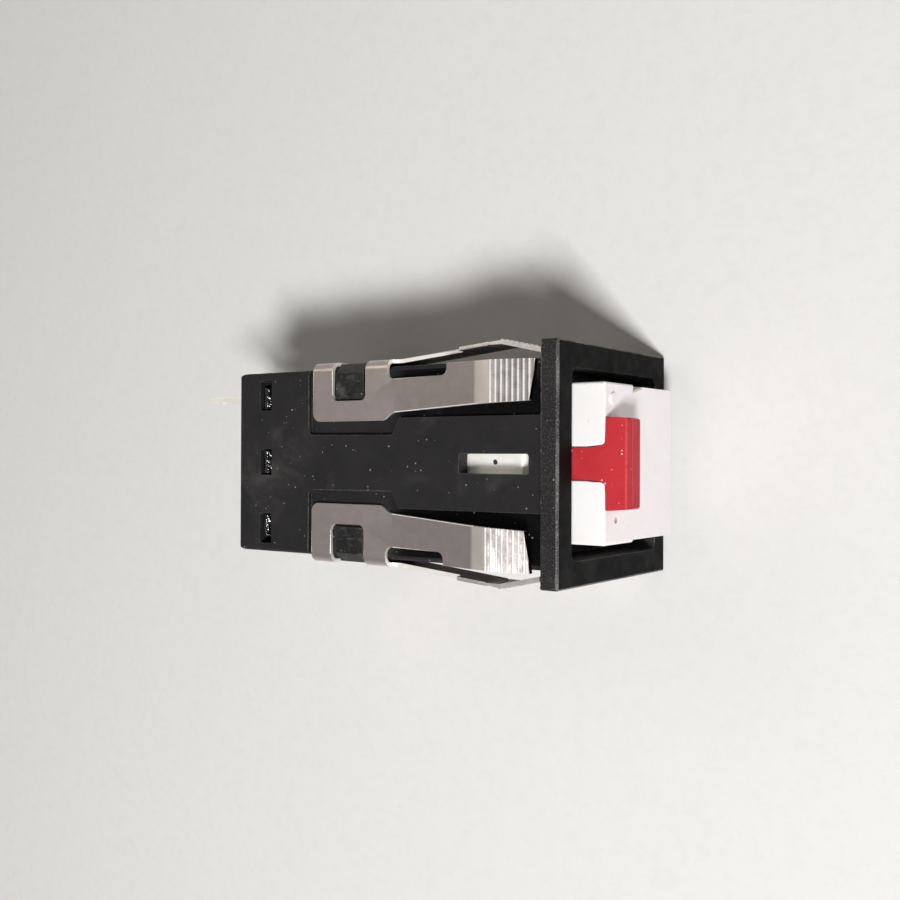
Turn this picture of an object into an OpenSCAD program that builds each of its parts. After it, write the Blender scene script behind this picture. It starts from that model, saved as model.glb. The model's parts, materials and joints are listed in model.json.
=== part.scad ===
// Lighted snap-action pushbutton switch that clips into a square panel cut-out.
// X runs forward along the button's travel and Z is up.
// The origin is the middle of the panel seat, which is the back face of the bezel.
// Sizes are in millimetres. All positions behind the panel are negative in X.

/* [Housing] */
// Width and height of the housing behind the panel
body_size = 17.6; // [15:0.1:24]
// Length of the housing behind the panel seat
body_len = 35.9; // [33:0.1:60]
// Wall round the mechanism
wall = 1.3; // [1.1:0.05:1.6]
// Wall of the thinner mouth that the button shows in
mouth_wall = 0.85; // [0.6:0.05:1]
// How far the mouth reaches behind the panel seat
mouth_depth = 3.0; // [1.5:0.1:4]
// How far the throat that stops the plunger reaches in from the cavity wall
throat_step = 0.5; // [0.3:0.05:0.6]
// Rounding of the housing's long edges
body_edge_r = 0.5; // [0.2:0.05:0.8]

/* [Bezel] */
// Overlap of the bezel past the housing on each side
bezel_lip = 1.35; // [1:0.05:2.5]
// Thickness of the bezel in front of the panel
bezel_t = 1.65; // [1.2:0.05:3]
// Rounding of the bezel's four corners
bezel_corner_r = 0.3; // [0.1:0.05:1]
// Rounding of the bezel's front edge
bezel_edge_r = 0.3; // [0.1:0.05:0.6]
// Rounding of the corners of the mouth
mouth_corner_r = 0.8; // [0.3:0.05:1.2]

/* [Housing recesses] */
// Depth of the recesses that the clips lie in
pocket_depth = 0.45; // [0.3:0.05:0.5]
// Half width of the raised strip between the recesses, behind the step
spine_half_rear = 2.6; // [2:0.1:3.4]
// Half width of the raised strip between the recesses, towards the bezel
spine_half_front = 4.1; // [3.6:0.1:4.4]
// Distance from the panel seat to the step in the raised strip
spine_step_at = 15.65; // [14.8:0.05:18]
// Length of the slot over each lamp strip
view_slot_len = 7.0; // [5:0.1:8]
// Width of the slot over each lamp strip
view_slot_w = 1.7; // [1:0.1:2]
// Distance from the panel seat to the front of that slot
view_slot_at = 1.95; // [1.5:0.05:2.5]
// Length of the latch windows near the rear
latch_window_len = 1.5; // [1.2:0.1:2]
// Distance from the rear of the housing to the latch windows
latch_window_at = 2.95; // [2.4:0.05:3.2]

/* [Mounting clips] */
// Thickness of the clip sheet
clip_t = 0.35; // [0.25:0.05:0.4]
// Distance from the panel seat to the rear edge of the clips
clip_rear_at = 25.95; // [25:0.05:30]
// Distance from the panel seat to where the legs leave the band
leg_root_at = 16.1; // [14.5:0.05:18]
// Half distance between the inner edges of the two bands
band_inner_half = 3.86; // [3.5:0.02:4.3]
// Gap between a clip's web and the side of the housing
web_gap = 0.3; // [0.2:0.05:0.6]
// Outer radius of the clip's long bends
bend_r = 0.9; // [0.6:0.05:1.2]
// How far the crest of each leg stands out past the edge of the bezel
crest_proud = 0.3; // [0.2:0.05:0.8]
// Distance from the panel seat to the crest of the legs
crest_at = 4.7; // [4:0.1:6.5]
// How far the tips of the legs stand out past the side of the housing
tip_proud = 0.65; // [0.5:0.05:1]
// Distance from the panel seat to the tips of the legs
tip_at = 0.8; // [0.5:0.05:1.5]
// Distance along the leg between two grip teeth
tooth_pitch = 0.48; // [0.4:0.02:0.8]
// Height of the grip teeth
tooth_h = 0.1; // [0.05:0.01:0.15]
// Sideways splay of the bent top leg of the right clip at its tip
bent_leg_splay = 0.2; // [0:0.05:0.35]
// How far that leg is bent up at its crest
bent_leg_lift = 0.4; // [0:0.05:0.5]
// How far the right clip has slipped back in its recess
right_clip_slip = 0.15; // [0:0.05:0.15]

/* [Button] */
// Gap between the button and each side of the mouth
button_gap_side = 1.25; // [1.15:0.05:2]
// Gap between the button and the top and bottom of the mouth
button_gap_top = 1.35; // [1.3:0.05:2.2]
// How far the button stands out of the bezel at rest
button_proud = 2.3; // [2.3:0.1:4]
// Travel of the button
travel = 2.5; // [1.5:0.1:2.5]
// Wall of the hollow button
button_wall = 1.2; // [0.9:0.1:1.5]
// Distance from the panel seat to the rear of the button
button_rear_at = 9.5; // [9:0.1:12]
// Step between the wide upper half and the lower half of the button, on its right side
button_side_step = 0.22; // [0.05:0.01:0.3]
// Sideways play of the button, which leans to the left
button_play = 0.08; // [0:0.01:0.08]

/* [Key] */
// Width of the key's stem
key_stem_w = 2.7; // [2:0.1:3.6]
// Width of the key's crosspiece
key_head_w = 7.7; // [6:0.1:9]
// How far the crosspiece stands out of the button's face
key_head_proud = 2.0; // [1:0.05:2.5]
// Height of the crosspiece
key_head_h = 2.55; // [1.6:0.05:3]

/* [Lamp] */
// Diameter of the bulb
bulb_d = 5.6; // [4:0.1:6]
// Overall length of the lamp
lamp_len = 13.4; // [10:0.1:14]
// Diameter of the flange on the lamp's cap
lamp_flange_d = 6.8; // [6.2:0.1:7]

/* [Terminals] */
// Distance between neighbouring terminals in a column
terminal_pitch = 5.08; // [4.6:0.02:5.4]
// Thickness of the terminals
terminal_t = 0.6; // [0.4:0.05:0.8]
// Width of the terminal blades
terminal_w = 1.8; // [1.2:0.1:2.2]
// Length of the terminals behind the housing
terminal_len = 8.2; // [3:0.1:12]
// Thickness of the strips that feed the lamp
strip_t = 0.3; // [0.2:0.05:0.4]
// Width of the strips that feed the lamp
strip_w = 2.2; // [1.8:0.1:2.4]

/* [Switch] */
// Thickness of the moving blade
blade_t = 0.3; // [0.2:0.05:0.4]
// Width of the moving blade
blade_w = 1.6; // [1.2:0.1:2]
// Diameter of the pivot pin of the blade
pivot_d = 0.9; // [0.7:0.05:1.1]
// Diameter of the contact rivets
contact_d = 1.8; // [1.4:0.1:2]
// Angle that the blade swings through in degrees
blade_swing = 4.5; // [3:0.1:5]
// Distance from the plunger's skirt at full travel to the middle of the blade
blade_clear = 2.1; // [2:0.1:4]

/* [Return spring] */
// Outer diameter of the return spring
spring_d = 6.2; // [5:0.1:6.4]
// Diameter of the spring's wire
spring_wire = 0.45; // [0.3:0.05:0.6]
// Number of turns
spring_turns = 9; // [6:1:12]

/* [Fits] */
// Gap between parts that are pushed together
push_gap = 0.05; // [0.03:0.01:0.08]
// Gap round the plunger in the cavity
slide_gap = 0.1; // [0.08:0.01:0.15]
// Radial gap of the blade's eye on its pin
pivot_gap = 0.04; // [0.02:0.01:0.08]

/* [Hidden] */
$fn = 48;
eps = 0.01;

// Housing
body_half = body_size / 2;
body_rear_r = 0.4;
body_corner_r = 0.8;
bore_corner_r = 0.4;
bezel_half = body_half + bezel_lip;
mouth_half = body_half - mouth_wall;
cavity_half = body_half - wall;
throat_half = cavity_half - throat_step;
throat_end_at = button_rear_at - slide_gap;
pocket_z = body_half - pocket_depth;
pocket_rear_at = clip_rear_at + 0.5;
pocket_r = 0.6;

// Clips
band_z = pocket_z + push_gap + clip_t;
web_y = body_half + web_gap + clip_t;
crest_half = bezel_half + crest_proud;
crest_len = 1.4;
crest_drop = 0.08;
tooth_lead = 0.1;
leg_end_at = tip_at - 0.5;
joint_len = 0.05;
tip_half = body_half + tip_proud;
leg_inner_root = band_inner_half + 0.7;
leg_inner_tip = leg_inner_root + 0.68;
leg_outer = body_half - 0.14;
tip_slant = 0.5;
slot_inner = leg_outer - 1.04;
slot_r = 0.65;
slot_rear_at = leg_root_at + 0.85;
slot_front_at = leg_root_at - 6.53;
side_slot_front_at = slot_front_at - 0.52;
band_corner_r = 0.85;
band_step_r = 1.1;
band_step_len = 0.9;
catch_front_at = leg_root_at + 3.4;
catch_rear_at = clip_rear_at - 2.45;
catch_half = body_half - 3.05;
catch_gap = 0.25;
catch_rear_gap = 0.37;
window_r = 0.55;

// Button and plunger
button_half = mouth_half - button_gap_side;
button_w = 2 * button_half;
button_h = 2 * (mouth_half - button_gap_top);
button_front = bezel_t + button_proud;
button_top = button_h / 2;
plunger_half = cavity_half - slide_gap;
plunger_web_at = button_rear_at + 5;
plunger_skirt_at = button_rear_at + 6.4;
spigot_len = 4;
shoulder_z = 1.4;
edge_r = 0.25;
low_corner_r = 0.8;
hollow_w = button_w - 2 * button_side_step - 2 * button_wall;
hollow_h = button_h - 2 * button_wall;
hollow_corner_r = 0.5;
low_step = 0.13;
nick_len = 0.9;
nick_depth = 0.45;
nick_h = 1.8;
pip_y = 5.35;
pip_z = 5.4;
pip_d = 0.9;
pip_h = 0.2;
gate_y = -4.7;
gate_z = 4.6;
gate_d = 0.5;
stem_r = 0.45;
stem_flare = 0.12;
stem_flare_len = 1.7;
head_edge = 0.15;
head_draft = 0.14;
head_band_h = 1.0;
head_band_step = 0.08;
key_rear_at = button_rear_at - 1.3;
key_front = button_front + key_head_proud;
key_foot = 0.8;
key_foot_len = 1.0;
lamp_rear_at = plunger_web_at - 1.7;
flange_at = lamp_rear_at - 0.9;
flange_t = 0.5;
lamp_cap_len = 4.0;
socket_d = lamp_flange_d + 2 * slide_gap;
upper_contact_x = -flange_at;
lower_contact_x = -lamp_rear_at - push_gap - strip_t;
lower_contact_top = 0.8;
contact_leaf_half = 0.8;
contact_nose_r = 1.2;
contact_slot_gap = 0.15;
contact_slot_half = contact_leaf_half + contact_slot_gap;
contact_slot_len = 2.1;
skirt_wall = 1.1;
spring_stub_len = 1.0;
actuator_w = 1.4;
core_w = 2.0;
core_at = plunger_half - 2.25;
core_len = 3.2;

// Lamp strips
strip_trough = 0.25;
strip_z = cavity_half - push_gap;
strip_low = strip_z - strip_trough - strip_t;
strip_front_at = view_slot_at + 1.0;
strip_branch_at = body_len - 9.5;
strip_branch_w = 2.0;
strip_nose_len = 0.6;
strip_nose_dip = 0.12;
strip_mark_at = 4.25;
strip_mark_y = 0.15;
strip_mark_d = 0.5;
strip_mark_depth = 0.2;

// Rear base
base_len = 6.0;
base_front_at = body_len - base_len;
base_recess = 0.3;
base_half = cavity_half - push_gap;
window_front_at = body_len - latch_window_at - latch_window_len;
window_spans = [[-cavity_half - 0.45, -cavity_half + 2.4], [-1.25, 1.25],
                [cavity_half - 2.4, cavity_half + 0.45]];
post_d = spring_d - 2 * spring_wire - 0.8;
coil_r = (spring_d - spring_wire) / 2;
coil_start = -base_front_at + spring_wire / 2 + 0.02;
coil_len = base_front_at - plunger_web_at - spring_wire - 0.04;

// Terminals: the switch column is on +Y and the lamp column on -Y
column_y = cavity_half - 1.0;
tail_point = 0.5;
tail_hole_d = 0.9;
tail_hole_at = 1.9;
terminal_y0 = column_y - terminal_t / 2;
terminal_y1 = column_y + terminal_t / 2;
contact_y = column_y - 1.3;
pad_y0 = contact_y - 1.1;
pad_t = 0.5;
pad_h = 2.0;
strip_gap = 0.4;
closed_top = cavity_half - 0.2;
closed_low = closed_top - 0.9;
open_top = closed_low - strip_gap;
contact_z = open_top - pad_h / 2;
pivot_z = -terminal_pitch + 0.5;
rivet_h = 0.45;
rivet_shank_d = 1.0;
blade_contact_h = 0.4;
contact_rest_gap = 0.05;
swing_len = contact_z - pivot_z;
blade_x = -(plunger_skirt_at + travel + blade_clear);
closed_pad_x = blade_x + blade_t / 2 + blade_contact_h + contact_rest_gap + rivet_h;
open_pad_x = blade_x - blade_t / 2 - blade_contact_h - contact_rest_gap - rivet_h
             - (swing_len + contact_d / 2) * tan(blade_swing);
actuator_half = 0.9;
actuator_gap = 0.15;
actuator_tip = blade_x + blade_t / 2 + travel + pivot_z * tan(blade_swing) + actuator_gap;

// Colours
black_plastic = [0.06, 0.06, 0.065];
white_plastic = [0.93, 0.92, 0.9];
natural_nylon = [0.85, 0.83, 0.76];
red_plastic = [0.75, 0.12, 0.14];
bright_steel = [0.72, 0.71, 0.68];
tinned = [0.82, 0.8, 0.75];
brass = [0.78, 0.62, 0.32];
silver = [0.85, 0.85, 0.86];
clear_glass = [0.85, 0.9, 0.92];

// An outline in Y and Z, extruded from x0 to x1.
module along_x(x0, x1) {
    translate([x0, 0, 0]) rotate([90, 0, 90]) linear_extrude(x1 - x0) children();
}

// An outline in X and Z, extruded from y0 to y1.
module along_y(y0, y1) {
    translate([0, y1, 0]) rotate([90, 0, 0]) linear_extrude(y1 - y0) children();
}

// An outline in X and Y, extruded from z0 to z1.
module along_z(z0, z1) {
    translate([0, 0, z0]) linear_extrude(z1 - z0) children();
}

// A box given by its two opposite corners.
module block(low, high) {
    translate(low) cube(high - low);
}

// A rectangle from low to high with round corners.
module round_rect(low, high, r) {
    translate([low.x + r, low.y]) square([high.x - low.x - 2 * r, high.y - low.y]);
    translate([low.x, low.y + r]) square([high.x - low.x, high.y - low.y - 2 * r]);
    for (x = [low.x + r, high.x - r], y = [low.y + r, high.y - r]) translate([x, y]) circle(r);
}

// A square of the given half width with round corners.
module round_square(half, r) {
    round_rect([-half, -half], [half, half], r);
}

// A round bar along X.
module bar_x(x0, x1, d) {
    translate([x0, 0, 0]) rotate([0, 90, 0]) cylinder(h = x1 - x0, d = d);
}

// The children and their mirror image below the middle plane.
module above_and_below() {
    children();
    mirror([0, 0, 1]) children();
}

// The children with Y and Z exchanged, for what repeats on the sides.
module swap_yz() {
    mirror([0, 1, -1]) children();
}

// Housing: bezel, square body, clip recesses and catches, and the stepped bore.
module bezel_plate() {
    intersection() {
        along_x(0, bezel_t) round_square(bezel_half, bezel_corner_r);
        along_y(-bezel_half, bezel_half) bezel_profile();
        along_z(-bezel_half, bezel_half) bezel_profile();
    }
}

module bezel_profile() {
    round_rect([-bezel_t, -bezel_half], [bezel_t, bezel_half], bezel_edge_r);
}

module body_shell() {
    intersection() {
        along_x(-body_len, eps) round_square(body_half, body_edge_r);
        along_y(-body_half, body_half) body_profile(body_rear_r);
        along_z(-body_half, body_half) body_profile(body_corner_r);
    }
}

module body_profile(r) {
    round_rect([-body_len, -body_half], [bezel_t, body_half], r);
}

// One recess for a clip: wide behind the step, narrower towards the bezel.
module pocket_outline() {
    corner = [-pocket_rear_at + pocket_r, spine_half_rear + pocket_r];
    translate(corner) circle(pocket_r);
    polygon([[-pocket_rear_at, body_half + 1], [-pocket_rear_at, corner.y], corner,
             [corner.x, spine_half_rear], [-spine_step_at - 0.75, spine_half_rear],
             [-spine_step_at, spine_half_front], [0, spine_half_front], [0, body_half + 1]]);
}

// Rounds the housing's edge along the recess, so that the bend of the clip clears it.
module recess_edge() {
    inner = pocket_z - body_edge_r;
    along_x(-pocket_rear_at, -eps) difference() {
        translate([body_half - body_edge_r, inner]) square(2 * body_edge_r);
        translate([body_half - body_edge_r, inner]) circle(body_edge_r);
    }
}

// A catch fills one clip window and takes the corner of the housing with it.
module catch() {
    along_x(-catch_rear_at + catch_rear_gap, -catch_front_at - catch_gap)
        polygon([[catch_half + catch_gap, catch_half + catch_gap],
                 [catch_half + catch_gap, band_z - 0.04],
                 [web_y - 1.0, band_z - 0.04],
                 [web_y - 0.15, body_half - 0.95],
                 [web_y - 0.15, catch_half + catch_gap]]);
}

module latch_windows() {
    for (span = window_spans)
        block([-window_front_at - latch_window_len, span[0], cavity_half - 0.6],
              [-window_front_at, span[1], body_half + 1]);
}

module housing() {
    color(black_plastic) difference() {
        union() {
            bezel_plate();
            difference() {
                body_shell();
                above_and_below() for (side = [0, 1]) mirror([0, side, 0]) {
                    along_z(pocket_z, body_half + 1) pocket_outline();
                    recess_edge();
                }
            }
            above_and_below() for (side = [0, 1]) mirror([0, side, 0]) catch();
        }
        along_x(-mouth_depth, bezel_t + 1) round_square(mouth_half, mouth_corner_r);
        along_x(-throat_end_at, 0) round_square(throat_half, bore_corner_r);
        along_x(-body_len - 1, -throat_end_at) round_square(cavity_half, bore_corner_r);
        above_and_below() {
            latch_windows();
            // Groove for the lamp strip through the throat
            block([-throat_end_at - eps, -strip_w / 2 - 0.15, 0], [0, strip_w / 2 + 0.15, cavity_half]);
            along_z(0, body_half + 1)
                round_rect([-view_slot_at - view_slot_len, -view_slot_w / 2],
                           [-view_slot_at, view_slot_w / 2], 0.2);
        }
    }
}

// Rear base: a plug with latch lugs, the terminal slots, the spring post and a cheek for the contacts.
module latch_lug(span) {
    along_y(span[0] + 0.15, span[1] - 0.15)
        polygon([[-window_front_at - latch_window_len + 0.1, base_half - 0.3],
                 [-window_front_at - latch_window_len + 0.1, body_half - 0.35],
                 [-window_front_at - latch_window_len + 0.5, body_half - 0.35],
                 [-window_front_at - 0.1, base_half],
                 [-window_front_at - 0.1, base_half - 0.3]]);
}

module lug_spans() {
    for (span = window_spans)
        latch_lug([max(span[0], -base_half), min(span[1], base_half)]);
}

module tail_slot(y, z) {
    block([-body_len - 1, y - terminal_t / 2 - push_gap, z - terminal_w / 2 - push_gap],
          [-base_front_at + 1, y + terminal_t / 2 + push_gap, z + terminal_w / 2 + push_gap]);
}

module terminal_base() {
    color(black_plastic) difference() {
        union() {
            along_x(-body_len + base_recess, -base_front_at) round_square(base_half, bore_corner_r);
            above_and_below() lug_spans();
            bar_x(-base_front_at - eps, -base_front_at + 5.5, post_d);
            translate([-base_front_at + 5.5, 0, 0]) rotate([0, 90, 0])
                cylinder(h = 0.6, d1 = post_d, d2 = post_d - 1);
            block([-base_front_at - eps, terminal_y1 + push_gap, -base_half + 0.4],
                  [closed_pad_x, base_half, base_half - bore_corner_r]);
        }
        for (z = [-terminal_pitch, 0, terminal_pitch]) tail_slot(column_y, z);
        for (z = [-terminal_pitch, 0]) tail_slot(-column_y, z);
    }
}

// Mounting clips: a U-shaped band with two windows and four legs with grip teeth.
module band_section() {
    difference() {
        round_rect([-web_y, -band_z], [web_y, band_z], bend_r);
        round_rect([-web_y + clip_t, -band_z + clip_t], [web_y - clip_t, band_z - clip_t],
                   bend_r - clip_t);
    }
}

// Points on an arc round a centre, from one angle to another.
function arc_points(at, r, from, to) =
    [for (i = [0 : 4]) let (a = from + (to - from) * i / 4) at + r * [cos(a), sin(a)]];

// Inner edge of the band where it slants in to the root of a leg, with both corners round.
function band_step() =
    let (slant = atan2(leg_inner_root - band_inner_half, band_step_len),
         run = band_step_r * tan(slant / 2))
    concat(arc_points([-leg_root_at - band_step_len - 2 * run, band_inner_half + band_step_r],
                      band_step_r, -90, slant - 90),
           arc_points([-leg_root_at, leg_inner_root - band_step_r], band_step_r, slant + 90, 90));

// Outline of the band seen square on to one face, with its slanted front.
module band_outline() {
    corner = [-clip_rear_at + band_corner_r, band_inner_half + band_corner_r];
    translate(corner) circle(band_corner_r);
    polygon(concat([corner, [corner.x, band_inner_half]], band_step(),
                   [[-leg_root_at, web_y + 1], [-clip_rear_at, web_y + 1],
                    [-clip_rear_at, corner.y]]));
}

// Window of the band over a catch, with round inner corners.
module window_outline() {
    round_rect([-catch_rear_at, catch_half], [-catch_front_at, web_y + 2], window_r);
}

// Slot that parts the top leg from the side leg, on which it reaches further forward.
module slot_outline(front_at) {
    round_rect([-slot_rear_at, slot_inner], [-front_at, web_y + 3], slot_r);
}

// Height of the leg's outer face, from the band up to the crest and down to the tip.
function leg_height(at, root, lift) =
    lift * (leg_root_at - at) / (leg_root_at - crest_at)
    + (at > crest_at + crest_len
        ? root + (crest_half - crest_drop - root) * (leg_root_at - at) / (leg_root_at - crest_at - crest_len)
    : at > crest_at ? crest_half - crest_drop * (at - crest_at) / crest_len
    : tip_half + (crest_half - tip_half) * (at - leg_end_at) / (crest_at - leg_end_at));

// Outer face of the leg with its teeth, as points from the root to the tip.
function toothed_face(root, lift) = concat(
    [[-leg_root_at - joint_len, root], [-leg_root_at, root],
     [-crest_at - crest_len, leg_height(crest_at + crest_len, root, lift)]],
    [for (at = [crest_at + tooth_lead : -tooth_pitch : tip_at + tooth_pitch / 4])
        let (z = leg_height(at, root, lift))
        each [[-at, z], [-at + tooth_pitch * 0.2, z + tooth_h],
              [-at + tooth_pitch * 0.5, z + tooth_h * 0.7]]],
    [[-leg_end_at, leg_height(leg_end_at, root, lift)]]);

module leg_profile(root, lift) {
    polygon(concat(toothed_face(root, lift),
        [for (at = [leg_end_at, crest_at, crest_at + crest_len, leg_root_at])
            [-at, leg_height(at, root, lift) - clip_t]],
        [[-leg_root_at - joint_len, root - clip_t]]));
}

module leg_outline(splay, front_at) {
    difference() {
        polygon([[-leg_root_at - joint_len, leg_inner_root], [-leg_root_at, leg_inner_root],
                 [-tip_at - tip_slant, leg_inner_tip + splay], [-tip_at, leg_outer + splay],
                 [-front_at, leg_outer + splay / 2], [-leg_root_at - joint_len, leg_outer]]);
        slot_outline(front_at);
    }
}

// One leg on the top face. Its root height is the band's height on that face.
module leg(root, splay, lift, front_at) {
    intersection() {
        along_y(0, web_y + 2) leg_profile(root, lift);
        along_z(0, crest_half + 2) leg_outline(splay, front_at);
    }
}

module half_clip(splay, lift) {
    difference() {
        intersection() {
            along_x(-clip_rear_at, -leg_root_at) band_section();
            union() {
                along_z(band_z - bend_r, band_z + 1) band_outline();
                along_z(-eps, band_z - bend_r + eps)
                    polygon([[-clip_rear_at, web_y - bend_r], [-leg_root_at, web_y - bend_r],
                             [-leg_root_at, web_y + 1], [-clip_rear_at, web_y + 1]]);
            }
            union() {
                along_y(web_y - bend_r, web_y + 1) web_outline();
                along_y(0, web_y - bend_r + eps)
                    translate([-clip_rear_at, band_z - bend_r]) square([clip_rear_at, bend_r + 1]);
            }
        }
        along_z(band_z - bend_r - 0.15, band_z + 1) window_outline();
        along_y(web_y - bend_r - 0.15, web_y + 1) window_outline();
        along_z(band_z - bend_r - 0.15, band_z + 1) slot_outline(slot_front_at);
        along_y(web_y - bend_r - 0.15, web_y + 1) slot_outline(side_slot_front_at);
    }
    leg(band_z, splay, lift, slot_front_at);
    swap_yz() leg(web_y, 0, 0, side_slot_front_at);
}

// The web between the two side legs, down to the middle plane.
module web_outline() {
    polygon(concat([[-clip_rear_at, -eps], [band_step()[0].x, -eps]], band_step(),
                   [[-leg_root_at, band_z + 1], [-clip_rear_at, band_z + 1]]));
}

module clip(splay, lift) {
    color(bright_steel) {
        half_clip(splay, lift);
        mirror([0, 0, 1]) half_clip(0, 0);
    }
}

module clip_left() {
    clip(0, 0);
}

module clip_right() {
    translate([-right_clip_slip, 0, 0]) mirror([0, 1, 0]) clip(bent_leg_splay, bent_leg_lift);
}

// Button: a hollow square block with a slot in its top for the key.
module button_section() {
    round_rect([-button_half, shoulder_z], [button_half, button_top], edge_r);
    translate([-button_half, shoulder_z]) square([button_w, 1]);
    round_rect([-button_half + button_side_step, -button_top],
               [button_half - low_step, shoulder_z + 2 * low_corner_r], low_corner_r);
}

// Outline of the button from one side, with its front edges rounded.
module button_profile(half) {
    round_rect([-button_rear_at - 1, -half], [button_front, half], edge_r);
}

// Nick in the left edge of the face, a broken corner right under the shoulder.
module face_nick() {
    past = 0.1;
    grow = 1 + past / nick_len + past / nick_depth;
    translate([button_front + past, button_half - low_step + past, shoulder_z]) scale(grow)
        polyhedron([[0, 0, 0], [-nick_len, 0, 0], [0, -nick_depth, 0], [0, 0, -nick_h]],
                   [[0, 2, 1], [0, 1, 3], [0, 3, 2], [1, 2, 3]]);
}

module button() {
    color(white_plastic) translate([0, button_play, 0]) difference() {
        union() {
            intersection() {
                along_x(-button_rear_at, button_front) button_section();
                along_y(-button_half, button_half) button_profile(button_top);
                along_z(-button_top, button_top) button_profile(button_half);
            }
            // Ejector mark beside the key
            translate([0, pip_y, pip_z]) bar_x(button_front - edge_r, button_front + pip_h, pip_d);
        }
        along_x(-button_rear_at - 1, button_front - button_wall)
            round_rect([-hollow_w / 2, -hollow_h / 2], [hollow_w / 2, hollow_h / 2], hollow_corner_r);
        along_z(hollow_h / 2 - eps, button_top + 1) key_stem_outline(push_gap, 1);
        face_nick();
        // Gate mark on the other side of the key
        translate([0, gate_y, gate_z]) bar_x(button_front - 0.15, button_front + 1, gate_d);
    }
}

// Key: a stem in the slot of the button with a crosspiece outside its face and a foot behind.
module key_stem_outline(gap, past) {
    w = key_stem_w / 2 + gap;
    front_w = w + stem_flare;
    flare_x = button_front - stem_flare_len;
    root_x = button_front - stem_r;
    polygon([[-key_rear_at - gap, -w], [-key_rear_at - gap, w], [flare_x, w], [root_x, front_w],
             [button_front + past, front_w], [button_front + past, -front_w], [root_x, -front_w],
             [flare_x, -w]]);
    // Round roots of the crosspiece
    for (side = [0, 1]) mirror([0, side]) difference() {
        translate([root_x, front_w - eps]) square([stem_r + past, stem_r]);
        translate([root_x, front_w + stem_r]) circle(stem_r);
    }
}

// The crosspiece from above, tapered towards its front.
module key_head_outline() {
    half = key_head_w / 2;
    polygon([[button_front, -half], [button_front, half],
             [key_front - head_edge, half - head_draft], [key_front, half - head_draft - head_edge],
             [key_front, -half + head_draft + head_edge], [key_front - head_edge, -half + head_draft]]);
}

// The crosspiece from the side, with an upright band above and a proud band below.
module key_head_profile() {
    low = button_top - key_head_h;
    band_x = key_front - head_band_step;
    polygon([[button_front, low], [button_front, button_top], [band_x - head_edge / 2, button_top],
             [band_x, button_top - head_edge / 2], [band_x, button_top - head_band_h],
             [key_front, button_top - head_band_h - head_edge], [key_front, low + head_edge],
             [key_front - head_edge, low]]);
}

module button_key() {
    color(red_plastic) translate([0, button_play, 0]) {
        along_z(hollow_h / 2 + push_gap, button_top) key_stem_outline(0, eps);
        intersection() {
            along_y(-key_head_w, key_head_w) key_head_profile();
            along_z(0, button_top) key_head_outline();
        }
        block([-key_rear_at, -key_stem_w / 2, hollow_h / 2 - key_foot],
              [-key_rear_at + key_foot_len, key_stem_w / 2, hollow_h / 2 + key_foot]);
    }
}

// Plunger: spigot in the button, lamp socket, square slider, spring seat and actuator.
module plunger_spigot() {
    along_x(-button_rear_at - eps, -button_rear_at + spigot_len)
        round_rect([-hollow_w / 2 + slide_gap, -hollow_h / 2 + slide_gap],
                   [hollow_w / 2 - slide_gap, hollow_h / 2 - slide_gap], hollow_corner_r);
}

module plunger_slider() {
    along_x(-plunger_web_at, -button_rear_at) round_square(plunger_half, bore_corner_r);
    along_x(-plunger_skirt_at, -plunger_web_at + eps) difference() {
        round_square(plunger_half, bore_corner_r);
        round_square(plunger_half - skirt_wall, bore_corner_r);
    }
    bar_x(-plunger_web_at - spring_stub_len, -plunger_web_at + eps, post_d);
    block([actuator_tip, contact_y - actuator_w / 2, -actuator_half],
          [-plunger_web_at + eps, contact_y + actuator_w / 2, actuator_half]);
}

// Slots for the two lamp contacts, and grooves that clear the fixed lamp strips.
module plunger_slots() {
    fit = contact_slot_gap;
    flange_half = lamp_flange_d / 2 - 0.5;
    above_and_below() block([-plunger_skirt_at - 1, -strip_w / 2 - 2 * fit, strip_low - fit],
                            [-button_rear_at + 1, strip_w / 2 + 2 * fit, cavity_half]);
    block([upper_contact_x - fit, -contact_slot_half, flange_half],
          [upper_contact_x + contact_slot_len, contact_slot_half, cavity_half]);
    block([lower_contact_x - fit, -contact_slot_half, -cavity_half],
          [lower_contact_x + contact_slot_len, contact_slot_half, -flange_half]);
    block([lower_contact_x - fit, -contact_slot_half, -cavity_half],
          [-lamp_rear_at + eps, contact_slot_half, lower_contact_top + 2 * fit]);
}

module plunger() {
    notch = slide_gap + button_play;
    color(natural_nylon) difference() {
        union() {
            plunger_spigot();
            plunger_slider();
        }
        bar_x(-lamp_rear_at, 0, socket_d);
        plunger_slots();
        // Notch for the foot of the key
        block([-key_rear_at - slide_gap, -key_stem_w / 2 - notch, hollow_h / 2 - key_foot - slide_gap],
              [-key_rear_at + key_foot_len + slide_gap, key_stem_w / 2 + notch, hollow_h / 2 + 1]);
        // Cores in the four corners
        for (y = [-core_at, core_at], z = [-core_at, core_at])
            block([-plunger_web_at - 1, y - core_w / 2, z - core_w / 2],
                  [-plunger_web_at + core_len, y + core_w / 2, z + core_w / 2]);
    }
}

// Lamp: glass bulb, metal cap with its flange, and the end contact.
module lamp() {
    color(clear_glass) translate([-lamp_rear_at, 0, 0]) rotate([0, 90, 0]) rotate_extrude() {
        square([1.2, 0.4]);
        translate([0, 0.2]) square([bulb_d / 2 - 0.05, lamp_cap_len]);
        translate([0, lamp_rear_at - flange_at - flange_t]) square([lamp_flange_d / 2, flange_t]);
        translate([0, lamp_cap_len]) square([bulb_d / 2, lamp_len - lamp_cap_len - bulb_d / 2]);
        intersection() {
            translate([0, lamp_len - bulb_d / 2]) circle(bulb_d / 2);
            translate([0, lamp_len - bulb_d / 2 - eps]) square(bulb_d);
        }
    }
}

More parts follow.
